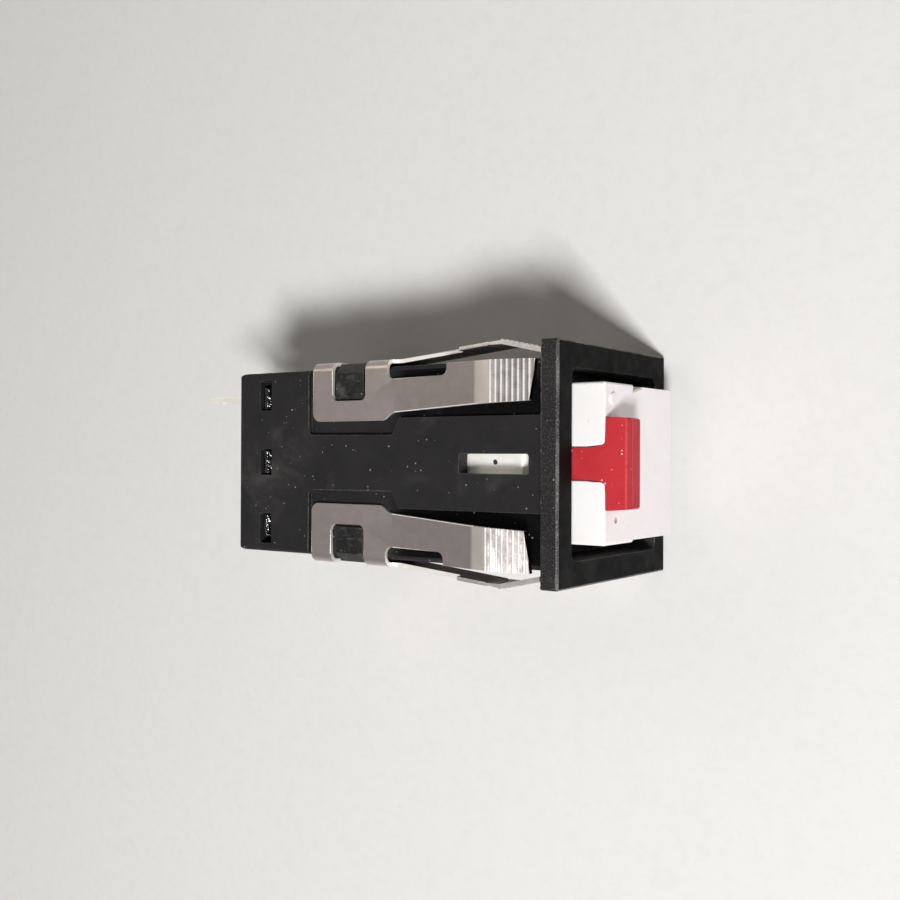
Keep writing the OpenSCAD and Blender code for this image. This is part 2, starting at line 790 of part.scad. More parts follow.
// Lamp contacts: a straight leaf with a round nose that rubs on the fixed strip.
module lamp_contact_profile(x, inner_z) {
    r = contact_nose_r;
    nose_z = strip_low - contact_rest_gap - r;
    translate([x, inner_z]) square([strip_t, nose_z - inner_z + eps]);
    intersection() {
        translate([x + r, nose_z]) difference() {
            circle(r);
            circle(r - strip_t);
        }
        translate([x, nose_z]) square([contact_slot_len - contact_slot_gap, r]);
    }
}

module lamp_contact_upper() {
    color(brass) along_y(-contact_leaf_half, contact_leaf_half)
        lamp_contact_profile(upper_contact_x, lamp_flange_d / 2 + push_gap);
}

module lamp_contact_lower() {
    color(brass) mirror([0, 0, 1]) along_y(-contact_leaf_half, contact_leaf_half)
        lamp_contact_profile(lower_contact_x, -lower_contact_top);
}

// Lamp strip: a trough-shaped strip along the top wall, a branch to the side and a folded tail.
module strip_section() {
    w = strip_w / 2;
    polygon([[-w, strip_z], [0, strip_z - strip_trough], [w, strip_z], [w, strip_z - strip_t],
             [0, strip_low], [-w, strip_z - strip_t]]);
}

module lamp_strip(tail_z) {
    branch_rear = -strip_branch_at - strip_branch_w;
    color(tinned) union() {
        difference() {
            along_x(branch_rear + 0.4, -strip_front_at - strip_nose_len) strip_section();
            translate([-view_slot_at - strip_mark_at, strip_mark_y, strip_z - strip_mark_depth])
                cylinder(h = strip_mark_depth + eps, d1 = strip_mark_d / 2, d2 = strip_mark_d);
        }
        // Bent nose
        along_y(-strip_w / 2, strip_w / 2)
            polygon([[-strip_front_at - strip_nose_len - eps, strip_z - 0.02],
                     [-strip_front_at - strip_nose_len - eps, strip_low + 0.02],
                     [-strip_front_at - 0.15, strip_low - strip_nose_dip],
                     [-strip_front_at, strip_low - strip_nose_dip + 0.15],
                     [-strip_front_at - 0.35, strip_z - 0.1]]);
        block([branch_rear, -column_y - strip_t, strip_z - strip_t],
              [-strip_branch_at, strip_w / 2, strip_z]);
        block([branch_rear, -column_y - strip_t, tail_z - terminal_w / 2],
              [-strip_branch_at, -column_y, strip_z]);
        along_y(-column_y - terminal_t / 2, -column_y + terminal_t / 2)
            tail_outline(tail_z, -strip_branch_at);
    }
}

module lamp_strip_upper() {
    lamp_strip(0);
}

module lamp_strip_lower() {
    mirror([0, 0, 1]) lamp_strip(terminal_pitch);
}

// Tail of a terminal at height z, from its tip behind the housing to x1.
module tail_outline(z, x1) {
    tip = -body_len - terminal_len;
    w = terminal_w / 2;
    difference() {
        polygon([[tip, z - w + tail_point], [tip + tail_point, z - w], [x1, z - w], [x1, z + w],
                 [tip + tail_point, z + w], [tip, z + w - tail_point]]);
        translate([tip + tail_hole_at, z]) circle(d = tail_hole_d);
    }
}

// A bent contact pad with its rivet hole, its rear face at x.
module contact_pad(x, top) {
    difference() {
        block([x, pad_y0, contact_z - pad_h / 2], [x + pad_t, terminal_y1, top]);
        translate([0, contact_y, contact_z]) bar_x(x - 1, x + pad_t + 1, rivet_shank_d + 0.04);
    }
}

module common_terminal() {
    color(tinned) {
        along_y(terminal_y0, terminal_y1) tail_outline(-terminal_pitch, blade_x + 0.8);
        translate([blade_x, 0, pivot_z]) rotate([90, 0, 0]) {
            translate([0, 0, -terminal_y0 - eps])
                cylinder(h = terminal_y0 - contact_y + blade_w / 2 + 0.3, d = pivot_d);
            translate([0, 0, -contact_y + blade_w / 2 + push_gap])
                cylinder(h = 0.25, d = pivot_d + 0.5);
        }
    }
}

module open_terminal() {
    color(tinned) {
        along_y(terminal_y0, terminal_y1) {
            tail_outline(0, open_pad_x);
            translate([open_pad_x - 1.8, -terminal_w / 2]) square([1.8, open_top + terminal_w / 2]);
        }
        contact_pad(open_pad_x - pad_t, open_top);
    }
}

module closed_terminal() {
    w = terminal_w / 2;
    jog = -base_front_at + 0.6;
    color(tinned) {
        along_y(terminal_y0, terminal_y1) {
            tail_outline(terminal_pitch, jog);
            polygon([[jog - eps, terminal_pitch - w], [jog - eps, terminal_pitch + w],
                     [jog + 1.2, closed_top], [closed_pad_x + pad_t, closed_top],
                     [closed_pad_x + pad_t, closed_low], [jog + 2.2, closed_low]]);
        }
        contact_pad(closed_pad_x, closed_top);
    }
}

// Moving blade: a rolled eye, a flat leaf with a window and a bowed tongue inside it.
module snap_blade() {
    eye_r = pivot_d / 2 + pivot_gap;
    tongue_half = blade_w / 2 - 0.4;
    window_low = pivot_z + eye_r + blade_t + 0.5;
    window_high = contact_z - contact_d / 2 - 0.7;
    bow = 0.7;
    half_len = (window_high - window_low) / 2 - 0.1;
    bow_r = (half_len * half_len + bow * bow) / (2 * bow);
    color(brass) difference() {
        union() {
            along_y(contact_y - blade_w / 2, contact_y + blade_w / 2) {
                translate([blade_x, pivot_z]) circle(eye_r + blade_t);
                translate([blade_x - blade_t / 2, pivot_z])
                    square([blade_t, contact_z + contact_d / 2 + 0.2 - pivot_z]);
            }
        }
        translate([blade_x, 0, pivot_z]) rotate([90, 0, 0])
            translate([0, 0, -terminal_y1]) cylinder(h = terminal_y1, r = eye_r);
        block([blade_x - 1, contact_y - tongue_half - 0.15, window_low],
              [blade_x + 1, contact_y + tongue_half + 0.15, window_high]);
        translate([0, contact_y, contact_z])
            bar_x(blade_x - 1, blade_x + 1, rivet_shank_d + 0.04);
    }
    color(brass) along_y(contact_y - tongue_half, contact_y + tongue_half) intersection() {
        translate([blade_x - bow + bow_r, (window_low + window_high) / 2]) difference() {
            circle(bow_r, $fn = 96);
            circle(bow_r - blade_t, $fn = 96);
        }
        translate([blade_x - bow - 1, window_low + 0.15])
            square([bow + 1 + blade_t / 2, window_high - window_low]);
    }
}

// A contact rivet along X: its head has its face at x and stands towards +X if forward.
module rivet(head_x, head_len, shank_len) {
    translate([0, contact_y, contact_z]) {
        bar_x(head_x, head_x + head_len, contact_d);
        bar_x(head_x + head_len - eps, head_x + head_len + shank_len, rivet_shank_d);
    }
}

module blade_contact() {
    color(silver) {
        rivet(blade_x - blade_t / 2 - blade_contact_h, blade_contact_h, blade_t + eps);
        translate([0, contact_y, contact_z])
            bar_x(blade_x + blade_t / 2, blade_x + blade_t / 2 + blade_contact_h, contact_d);
    }
}

module closed_contact() {
    color(silver) rivet(closed_pad_x - rivet_h, rivet_h, pad_t + 0.15);
}

module open_contact() {
    color(silver) translate([2 * open_pad_x, 0, 0]) mirror([1, 0, 0])
        rivet(open_pad_x - rivet_h, rivet_h, pad_t + 0.15);
}

// Return spring: a closed-end coil, swept along its helix.
function coil_x(turn) =
    let (pitch0 = spring_wire * 1.04, rise = coil_len - 2 * pitch0,
         step = rise / (spring_turns - 2))
    turn < 1 ? pitch0 * turn
    : turn > spring_turns - 1 ? coil_len - pitch0 * (spring_turns - turn)
    : pitch0 + step * (turn - 1);

module return_spring() {
    sides = 8;
    per_turn = 16;
    rings = spring_turns * per_turn;
    r = spring_wire / 2;
    points = [for (i = [0 : rings], k = [0 : sides - 1])
        let (a = 360 * i / per_turn, b = 360 * k / sides, q = coil_r + r * cos(b))
        [coil_start + coil_x(i / per_turn) + r * sin(b), q * cos(a), q * sin(a)]];
    walls = [for (i = [0 : rings - 1], k = [0 : sides - 1])
        let (n = (k + 1) % sides, p = i * sides, q = p + sides)
        each [[p + k, p + n, q + n], [p + k, q + n, q + k]]];
    start_cap = [for (k = [sides - 1 : -1 : 0]) k];
    end_cap = [for (k = [0 : sides - 1]) rings * sides + k];
    color(bright_steel) polyhedron(points, concat(walls, [start_cap, end_cap]));
}

housing();
terminal_base();
clip_left();
clip_right();
button();
button_key();
plunger();
lamp();
lamp_contact_upper();
lamp_contact_lower();
lamp_strip_upper();
lamp_strip_lower();
return_spring();
common_terminal();
open_terminal();
closed_terminal();
snap_blade();
blade_contact();
open_contact();
closed_contact();
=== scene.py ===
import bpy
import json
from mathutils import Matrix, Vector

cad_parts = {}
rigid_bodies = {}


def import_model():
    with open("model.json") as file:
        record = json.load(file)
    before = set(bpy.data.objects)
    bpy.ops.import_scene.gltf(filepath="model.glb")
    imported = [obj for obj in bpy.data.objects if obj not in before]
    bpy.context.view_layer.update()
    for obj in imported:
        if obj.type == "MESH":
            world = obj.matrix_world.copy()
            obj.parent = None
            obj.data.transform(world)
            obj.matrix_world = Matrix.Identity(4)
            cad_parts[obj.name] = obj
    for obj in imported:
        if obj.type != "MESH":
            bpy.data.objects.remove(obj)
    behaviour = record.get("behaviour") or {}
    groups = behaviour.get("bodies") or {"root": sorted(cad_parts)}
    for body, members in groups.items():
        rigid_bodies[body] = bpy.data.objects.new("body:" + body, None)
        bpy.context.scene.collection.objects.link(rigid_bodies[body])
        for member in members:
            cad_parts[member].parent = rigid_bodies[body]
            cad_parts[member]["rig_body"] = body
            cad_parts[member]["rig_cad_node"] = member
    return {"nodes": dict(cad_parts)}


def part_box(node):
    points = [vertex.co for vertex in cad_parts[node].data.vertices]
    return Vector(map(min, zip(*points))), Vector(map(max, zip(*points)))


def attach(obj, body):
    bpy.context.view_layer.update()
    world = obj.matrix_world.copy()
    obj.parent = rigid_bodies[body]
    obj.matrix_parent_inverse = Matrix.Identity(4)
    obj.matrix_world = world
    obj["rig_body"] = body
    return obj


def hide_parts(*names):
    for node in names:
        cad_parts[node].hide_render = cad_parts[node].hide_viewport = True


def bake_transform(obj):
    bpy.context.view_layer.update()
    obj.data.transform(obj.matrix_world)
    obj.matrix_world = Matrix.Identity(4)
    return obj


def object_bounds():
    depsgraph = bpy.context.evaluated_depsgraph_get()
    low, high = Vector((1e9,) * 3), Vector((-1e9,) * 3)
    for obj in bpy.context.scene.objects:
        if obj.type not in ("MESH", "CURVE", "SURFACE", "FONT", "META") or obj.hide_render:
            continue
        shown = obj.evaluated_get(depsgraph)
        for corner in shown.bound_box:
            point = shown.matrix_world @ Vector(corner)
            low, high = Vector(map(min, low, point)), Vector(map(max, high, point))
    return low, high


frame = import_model()

"""A lighted pushbutton switch lying on a plain pale floor.

The moulded and formed pieces are copies of the frame's nodes, merged and with their edges rounded
as a mould or a press leaves them. The return spring and the lamp are modelled here in full.
Every finish is procedural and reads object coordinates. Lengths are in metres and angles in
radians, unless a name or its note says otherwise.
"""

import json
import logging
import math
from collections.abc import Callable
from dataclasses import dataclass, replace
from enum import Enum

import bmesh
import bpy
from mathutils import Euler, Vector

MM = 0.001
UM = 0.001 * MM
CAD_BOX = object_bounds()

# Modelling tolerances
WELD = 0.001 * MM
TURNED_WELD = 0.002 * MM
FLAT_WITHIN = math.radians(0.6)
SMOOTH_WITHIN = math.radians(32)

log = logging.getLogger("pushbutton")

Colour = tuple[float, float, float]
Point = tuple[float, float, float]
Stop = tuple[float, float]


class Body(Enum):
    """Bodies of the frame that pieces ride on."""

    FRAME = "frame"
    PUSHER = "pusher"
    BLADE = "blade"


class Slot(Enum):
    """Material slots of the record."""

    BLACK_PLASTIC = "black_plastic"
    BASE_PLASTIC = "base_plastic"
    SPRING_STEEL = "spring_steel"
    WHITE_PLASTIC = "white_plastic"
    RED_PLASTIC = "red_plastic"
    NATURAL_NYLON = "natural_nylon"
    LAMP_GLASS = "lamp_glass"
    CONTACT_BRASS = "contact_brass"
    PLATED_METAL = "plated_metal"
    SPRING_WIRE = "spring_wire"
    CONTACT_SILVER = "contact_silver"


class Grain(Enum):
    """Direction in which metal was rolled or drawn, as scales that stretch a pattern."""

    ALONG_X = (0.02, 1.0, 1.0)
    ALONG_Z = (1.0, 1.0, 0.02)
    NONE = (1.0, 1.0, 1.0)


# ---------------------------------------------------------------- shader graphs


@dataclass(frozen=True)
class Pattern:
    """A fractal pattern and the part of its range that shows.

    Attributes:
        scale: Features in a metre.
        detail: Number of octaves.
        roughness: Share that each finer octave keeps.
        low: Value at which the pattern starts to show.
        high: Value at which it shows in full.
        warp: How much it is warped.
    """

    scale: float
    detail: float
    roughness: float
    low: float = 0.0
    high: float = 1.0
    warp: float = 0.0


@dataclass(frozen=True)
class Specks:
    """Scattered round specks, one at most in each cell.

    Attributes:
        scale: Cells in a metre.
        size: Radius of the largest speck, as a share of its cell.
        share: Share of the cells that hold one.
    """

    scale: float
    size: float
    share: float


class Graph:
    """One material with its principled shader, and short calls that add nodes to it."""

    EDGE_SAMPLES = 6
    SPECK_BLUR = 0.2

    def __init__(self, name: str) -> None:
        """Make the material.

        Args:
            name: Name of the material.
        """
        self.material = bpy.data.materials.new(name)
        self.material.use_nodes = True
        self.tree = self.material.node_tree
        self.shader = self.tree.nodes["Principled BSDF"]
        self.place = self.tree.nodes.new("ShaderNodeTexCoord").outputs["Object"]

    def add(self, kind: str, **values: object) -> bpy.types.Node:
        """Add a node and set its properties.

        Args:
            kind: Node type without its ShaderNode prefix.
            **values: Properties to set on the node.

        Returns:
            The new node.
        """
        node = self.tree.nodes.new("ShaderNode" + kind)
        for key, value in values.items():
            setattr(node, key, value)
        return node

    def feed(self, socket: bpy.types.NodeSocket, value: object) -> None:
        """Link a socket to another, or set its plain value.

        Args:
            socket: Input socket.
            value: Output socket, number or colour.
        """
        if isinstance(value, bpy.types.NodeSocket):
            self.tree.links.new(value, socket)
        elif isinstance(value, tuple) and len(value) == 3 and socket.type == "RGBA":
            socket.default_value = (*value, 1.0)
        else:
            socket.default_value = value

    def stretched(self, scale: Point, turn: Point = (0.0, 0.0, 0.0)) -> bpy.types.NodeSocket:
        """Object coordinates stretched and turned for a pattern.

        Args:
            scale: Scale along each axis.
            turn: Rotation about each axis in radians.

        Returns:
            The vector socket.
        """
        node = self.add("Mapping")
        self.feed(node.inputs["Vector"], self.place)
        node.inputs["Scale"].default_value = scale
        node.inputs["Rotation"].default_value = turn
        return node.outputs["Vector"]

    def reach(self, point: Point) -> bpy.types.NodeSocket:
        """Distance from an upright line through a point.

        Args:
            point: A point on the line.

        Returns:
            The distance in metres.
        """
        node = self.add("Mapping")
        self.feed(node.inputs["Vector"], self.place)
        node.inputs["Location"].default_value = (-point[0], -point[1], 0.0)
        node.inputs["Scale"].default_value = (1.0, 1.0, 0.0)
        length = self.add("VectorMath", operation="LENGTH")
        self.feed(length.inputs[0], node.outputs["Vector"])
        return length.outputs["Value"]

    def along(self) -> bpy.types.NodeSocket:
        """Place along the switch.

        Returns:
            The object coordinate X.
        """
        split = self.add("SeparateXYZ")
        self.feed(split.inputs[0], self.place)
        return split.outputs["X"]

    def noise(self, pattern: Pattern,
              at: bpy.types.NodeSocket | None = None) -> bpy.types.NodeSocket:
        """The whole range of a pattern.

        Args:
            pattern: The pattern.
            at: Vector socket, or object coordinates if left out.

        Returns:
            The noise from 0 to 1.
        """
        node = self.add("TexNoise")
        self.feed(node.inputs["Vector"], at or self.place)
        node.inputs["Scale"].default_value = pattern.scale
        node.inputs["Detail"].default_value = pattern.detail
        node.inputs["Roughness"].default_value = pattern.roughness
        node.inputs["Distortion"].default_value = pattern.warp
        return node.outputs["Fac"]

    def sums(self, operation: str, first: object, second: object = 0.0,
             clamp: bool = False) -> bpy.types.NodeSocket:
        """One step of arithmetic.

        Args:
            operation: Operation of the Math node.
            first: First value or socket.
            second: Second value or socket.
            clamp: Whether the result is kept from 0 to 1.

        Returns:
            The result.
        """
        node = self.add("Math", operation=operation, use_clamp=clamp)
        self.feed(node.inputs[0], first)
        self.feed(node.inputs[1], second)
        return node.outputs[0]

    def between(self, value: object, low: float, high: float, to_low: float = 0.0,
                to_high: float = 1.0) -> bpy.types.NodeSocket:
        """Spread a range of a value over another range, smoothly and clamped.

        Args:
            value: Socket to read.
            low: Value that becomes to_low.
            high: Value that becomes to_high.
            to_low: Result at and below low.
            to_high: Result at and above high.

        Returns:
            The result.
        """
        node = self.add("MapRange", interpolation_type="SMOOTHSTEP")
        self.feed(node.inputs["Value"], value)
        for key, number in (("From Min", low), ("From Max", high), ("To Min", to_low),
                            ("To Max", to_high)):
            node.inputs[key].default_value = number
        return node.outputs["Result"]

    def shown(self, pattern: Pattern, least: float = 0.0, most: float = 1.0,
              at: bpy.types.NodeSocket | None = None) -> bpy.types.NodeSocket:
        """The part of a pattern's range that shows, spread over a range of its own.

        Args:
            pattern: The pattern.
            least: Result where it doesn't show.
            most: Result where it shows in full.
            at: Vector socket, or object coordinates if left out.

        Returns:
            The result.
        """
        return self.between(self.noise(pattern, at), pattern.low, pattern.high, least, most)

    def mix(self, share: object, first: object, second: object) -> bpy.types.NodeSocket:
        """Mix two colours.

        Args:
            share: Share of the second colour.
            first: Colour or socket.
            second: Colour or socket.

        Returns:
            The mixed colour.
        """
        node = self.add("Mix", data_type="RGBA")
        self.feed(node.inputs[0], share)
        self.feed(node.inputs[6], first)
        self.feed(node.inputs[7], second)
        return node.outputs[2]

    def specks(self, specks: Specks, amount: float) -> bpy.types.NodeSocket:
        """Scatter specks.

        Args:
            specks: The specks.
            amount: Factor on the share of cells that hold one.

        Returns:
            A mask that is 1 on the specks.
        """
        node = self.add("TexVoronoi")
        self.feed(node.inputs["Vector"], self.place)
        node.inputs["Scale"].default_value = specks.scale
        split = self.add("SeparateColor")
        self.feed(split.inputs["Color"], node.outputs["Color"])
        chosen = self.sums("LESS_THAN", split.outputs["Red"], specks.share * amount)
        radius = self.sums("MULTIPLY", split.outputs["Green"], specks.size)
        inside = self.sums("SUBTRACT", radius, node.outputs["Distance"])
        blur = self.SPECK_BLUR * specks.size
        return self.sums("MULTIPLY", self.between(inside, -blur, blur), chosen)

    def edge_wear_and_highlight_mask(self, radius: float, low: float = 0.02,
                   high: float = 0.25) -> bpy.types.NodeSocket:
        """A mask of the edges, where a rounded normal leaves the true one.

        Args:
            radius: Width of the edge in metres.
            low: Difference where the mask starts.
            high: Difference where the mask is full.

        Returns:
            A mask that is 1 on the edges.
        """
        bevel = self.add("Bevel", samples=self.EDGE_SAMPLES)
        bevel.inputs["Radius"].default_value = radius
        true = self.add("NewGeometry")
        dot = self.add("VectorMath", operation="DOT_PRODUCT")
        self.feed(dot.inputs[0], bevel.outputs["Normal"])
        self.feed(dot.inputs[1], true.outputs["True Normal"])
        return self.between(self.sums("SUBTRACT", 1.0, dot.outputs["Value"]), low, high)

    def bump(self, *layers: tuple[object, float]) -> None:
        """Add bump layers to the shader's normal.

        Args:
            *layers: Pairs of a height socket and its depth in metres.
        """
        normal = None
        for height, depth in layers:
            node = self.add("Bump")
            node.inputs["Strength"].default_value = 1.0
            node.inputs["Distance"].default_value = depth
            self.feed(node.inputs["Height"], height)
            if normal is not None:
                self.feed(node.inputs["Normal"], normal)
            normal = node.outputs["Normal"]
        self.feed(self.shader.inputs["Normal"], normal)

    def finish(self, **sockets: object) -> bpy.types.Material:
        """Feed the shader's sockets.

        Args:
            **sockets: Socket names, with an underscore for each space, and what they get.

        Returns:
            The material.
        """
        for key, value in sockets.items():
            self.feed(self.shader.inputs[key.replace("_", " ")], value)
        return self.material


# ---------------------------------------------------------------------- finishes


@dataclass(frozen=True)
class MouldedPlastic:
    """Moulded plastic with blotches, fine grain, lighter edges (partly wear, partly painted
    highlight), settled dust, and optional painted shade in a recess.

    Attributes:
        base: Colour of the plastic.
        blotch: Colour of its faint clouds.
        worn: Colour of the lighter edges, which are partly wear and partly painted highlight, and
            of the grain's tips.
        roughness: Mean roughness.
        spread: How far the roughness strays from its mean.
        grain_depth: Depth of the fine grain.
        wave: Waves of the surface.
        wave_depth: Depth of those waves.
        speckle: How far the grain's tips take the worn colour.
        wear_and_edge_highlight: How far the edges take the worn colour, as wear and as painted
            highlight.
        dust: Amount of settled dust.
        dust_colour: Colour of dust and flecks.
        edge_width: Width of the lighter edges.
        flecks: Share of fine cells that hold a fleck.
        scuffs: Strength of smears and scratches, or 0 for none.
        scuff_colour: Their colour.
        subsurface: Share of light that scatters inside.
        gloss: Level of the mirror reflection.
        painted_shade_from: Place along the switch where painted shade in a recess starts.
        painted_shade_to: Place where that painted shade is at its darkest.
        painted_shade_share: How dark the painted shade gets, or 0 for none.
        painted_shade_colour: Colour of the painted shade at its darkest.
    """

    base: Colour
    blotch: Colour
    worn: Colour
    roughness: float = 0.5
    spread: float = 0.1
    grain_depth: float = 1.2 * UM
    wave: Pattern = Pattern(700.0, 2.0, 0.45)
    wave_depth: float = 6 * UM
    speckle: float = 0.1
    wear_and_edge_highlight: float = 0.5
    dust: float = 0.5
    dust_colour: Colour = (0.30, 0.29, 0.28)
    edge_width: float = 0.16 * MM
    flecks: float = 0.06
    scuffs: float = 0.0
    scuff_colour: Colour = (0.20, 0.195, 0.19)
    subsurface: float = 0.0
    gloss: float = 0.5
    # Painted shade in a recess, darker towards the front
    painted_shade_from: float = 0.0
    painted_shade_to: float = 0.0
    painted_shade_share: float = 0.0
    painted_shade_colour: Colour = (0.0016, 0.0015, 0.0016)

    CLOUD = Pattern(260.0, 4.0, 0.55, 0.35, 0.68)
    GRAIN = Pattern(7500.0, 2.0, 0.6, 0.50, 0.78)
    EDGE = Pattern(2600.0, 3.0, 0.6, 0.34, 0.62)
    SMEAR = Pattern(650.0, 5.0, 0.68, 0.52, 0.72, warp=0.8)
    SCRATCH = Pattern(5200.0, 2.0, 0.5, 0.60, 0.70)
    FILM = Pattern(180.0, 5.0, 0.62, 0.5, 0.78, warp=0.4)
    SHEEN = Pattern(900.0, 4.0, 0.6, 0.3, 0.7)
    FINE_DUST = Specks(1700.0, 0.17, 0.06)
    COARSE_DUST = Specks(520.0, 0.07, 0.14)
    FLECK = Specks(3300.0, 0.26, 1.0)
    SCRATCH_STRETCH = (0.22, 1.0, 1.0)
    SCRATCH_TURN = (0.0, 0.0, math.radians(28))
    FILM_SHARE = 0.10
    EDGE_LEAST = 0.15
    EDGE_SMOOTHS = 0.12
    DUST_SHOWS = 0.75
    DUST_ROUGHENS = 0.3
    SCATTER = 0.6 * MM

    def scuffed(self, g: Graph, colour: bpy.types.NodeSocket) -> bpy.types.NodeSocket:
        """Rub smears and slanting scratches into a colour.

        Args:
            g: Graph of the material.
            colour: Colour so far.

        Returns:
            The scuffed colour.
        """
        smear = g.shown(self.SMEAR, 0.0, self.scuffs)
        slant = g.stretched(self.SCRATCH_STRETCH, self.SCRATCH_TURN)
        scratch = g.shown(self.SCRATCH, 0.0, self.scuffs, slant)
        return g.mix(g.sums("MAXIMUM", smear, scratch), colour, self.scuff_colour)

    def dusty(self, g: Graph) -> bpy.types.NodeSocket:
        """Settle specks of three sizes and a thin film of dust.

        Args:
            g: Graph of the material.

        Returns:
            A mask of how much dust shows.
        """
        specks = g.sums("MAXIMUM", g.specks(self.FINE_DUST, self.dust),
                        g.specks(self.COARSE_DUST, self.dust))
        specks = g.sums("MAXIMUM", specks, g.specks(self.FLECK, self.flecks))
        film = g.shown(self.FILM, 0.0, self.FILM_SHARE * self.dust)
        return g.sums("MAXIMUM", g.sums("MULTIPLY", specks, self.DUST_SHOWS), film)

    def make(self, name: str) -> bpy.types.Material:
        """Build the material.

        Args:
            name: Name of the material.

        Returns:
            The material.
        """
        g = Graph(name)
        grain = g.noise(self.GRAIN)
        colour = g.mix(g.shown(self.CLOUD), self.base, self.blotch)
        tips = g.between(grain, self.GRAIN.low, self.GRAIN.high, 0.0, self.speckle)
        colour = g.mix(tips, colour, self.worn)
        # Lighter edges: partly wear, partly painted highlight
        edge = g.sums("MULTIPLY", g.edge_wear_and_highlight_mask(self.edge_width),
                      g.shown(self.EDGE, self.EDGE_LEAST, self.wear_and_edge_highlight))
        colour = g.mix(edge, colour, self.worn)
        if self.scuffs:
            colour = self.scuffed(g, colour)
        # Painted shade: darken the colour along the switch, as in the clips' recesses
        if self.painted_shade_share:
            painted_shade = g.between(g.along(), self.painted_shade_from, self.painted_shade_to, 0.0, self.painted_shade_share)
            colour = g.mix(painted_shade, colour, self.painted_shade_colour)
        dusty = self.dusty(g)
        colour = g.mix(dusty, colour, self.dust_colour)
        rough = g.shown(self.SHEEN, self.roughness - self.spread, self.roughness + self.spread)
        rough = g.sums("ADD", rough, g.sums("MULTIPLY", dusty, self.DUST_ROUGHENS), clamp=True)
        rough = g.sums("SUBTRACT", rough, g.sums("MULTIPLY", edge, self.EDGE_SMOOTHS), clamp=True)
        g.bump((g.noise(self.wave), self.wave_depth), (grain, self.grain_depth))
        g.shader.inputs["Subsurface Weight"].default_value = self.subsurface
        g.shader.inputs["Subsurface Scale"].default_value = self.SCATTER
        g.shader.inputs["Specular IOR Level"].default_value = self.gloss
        return g.finish(Base_Color=colour, Roughness=rough)


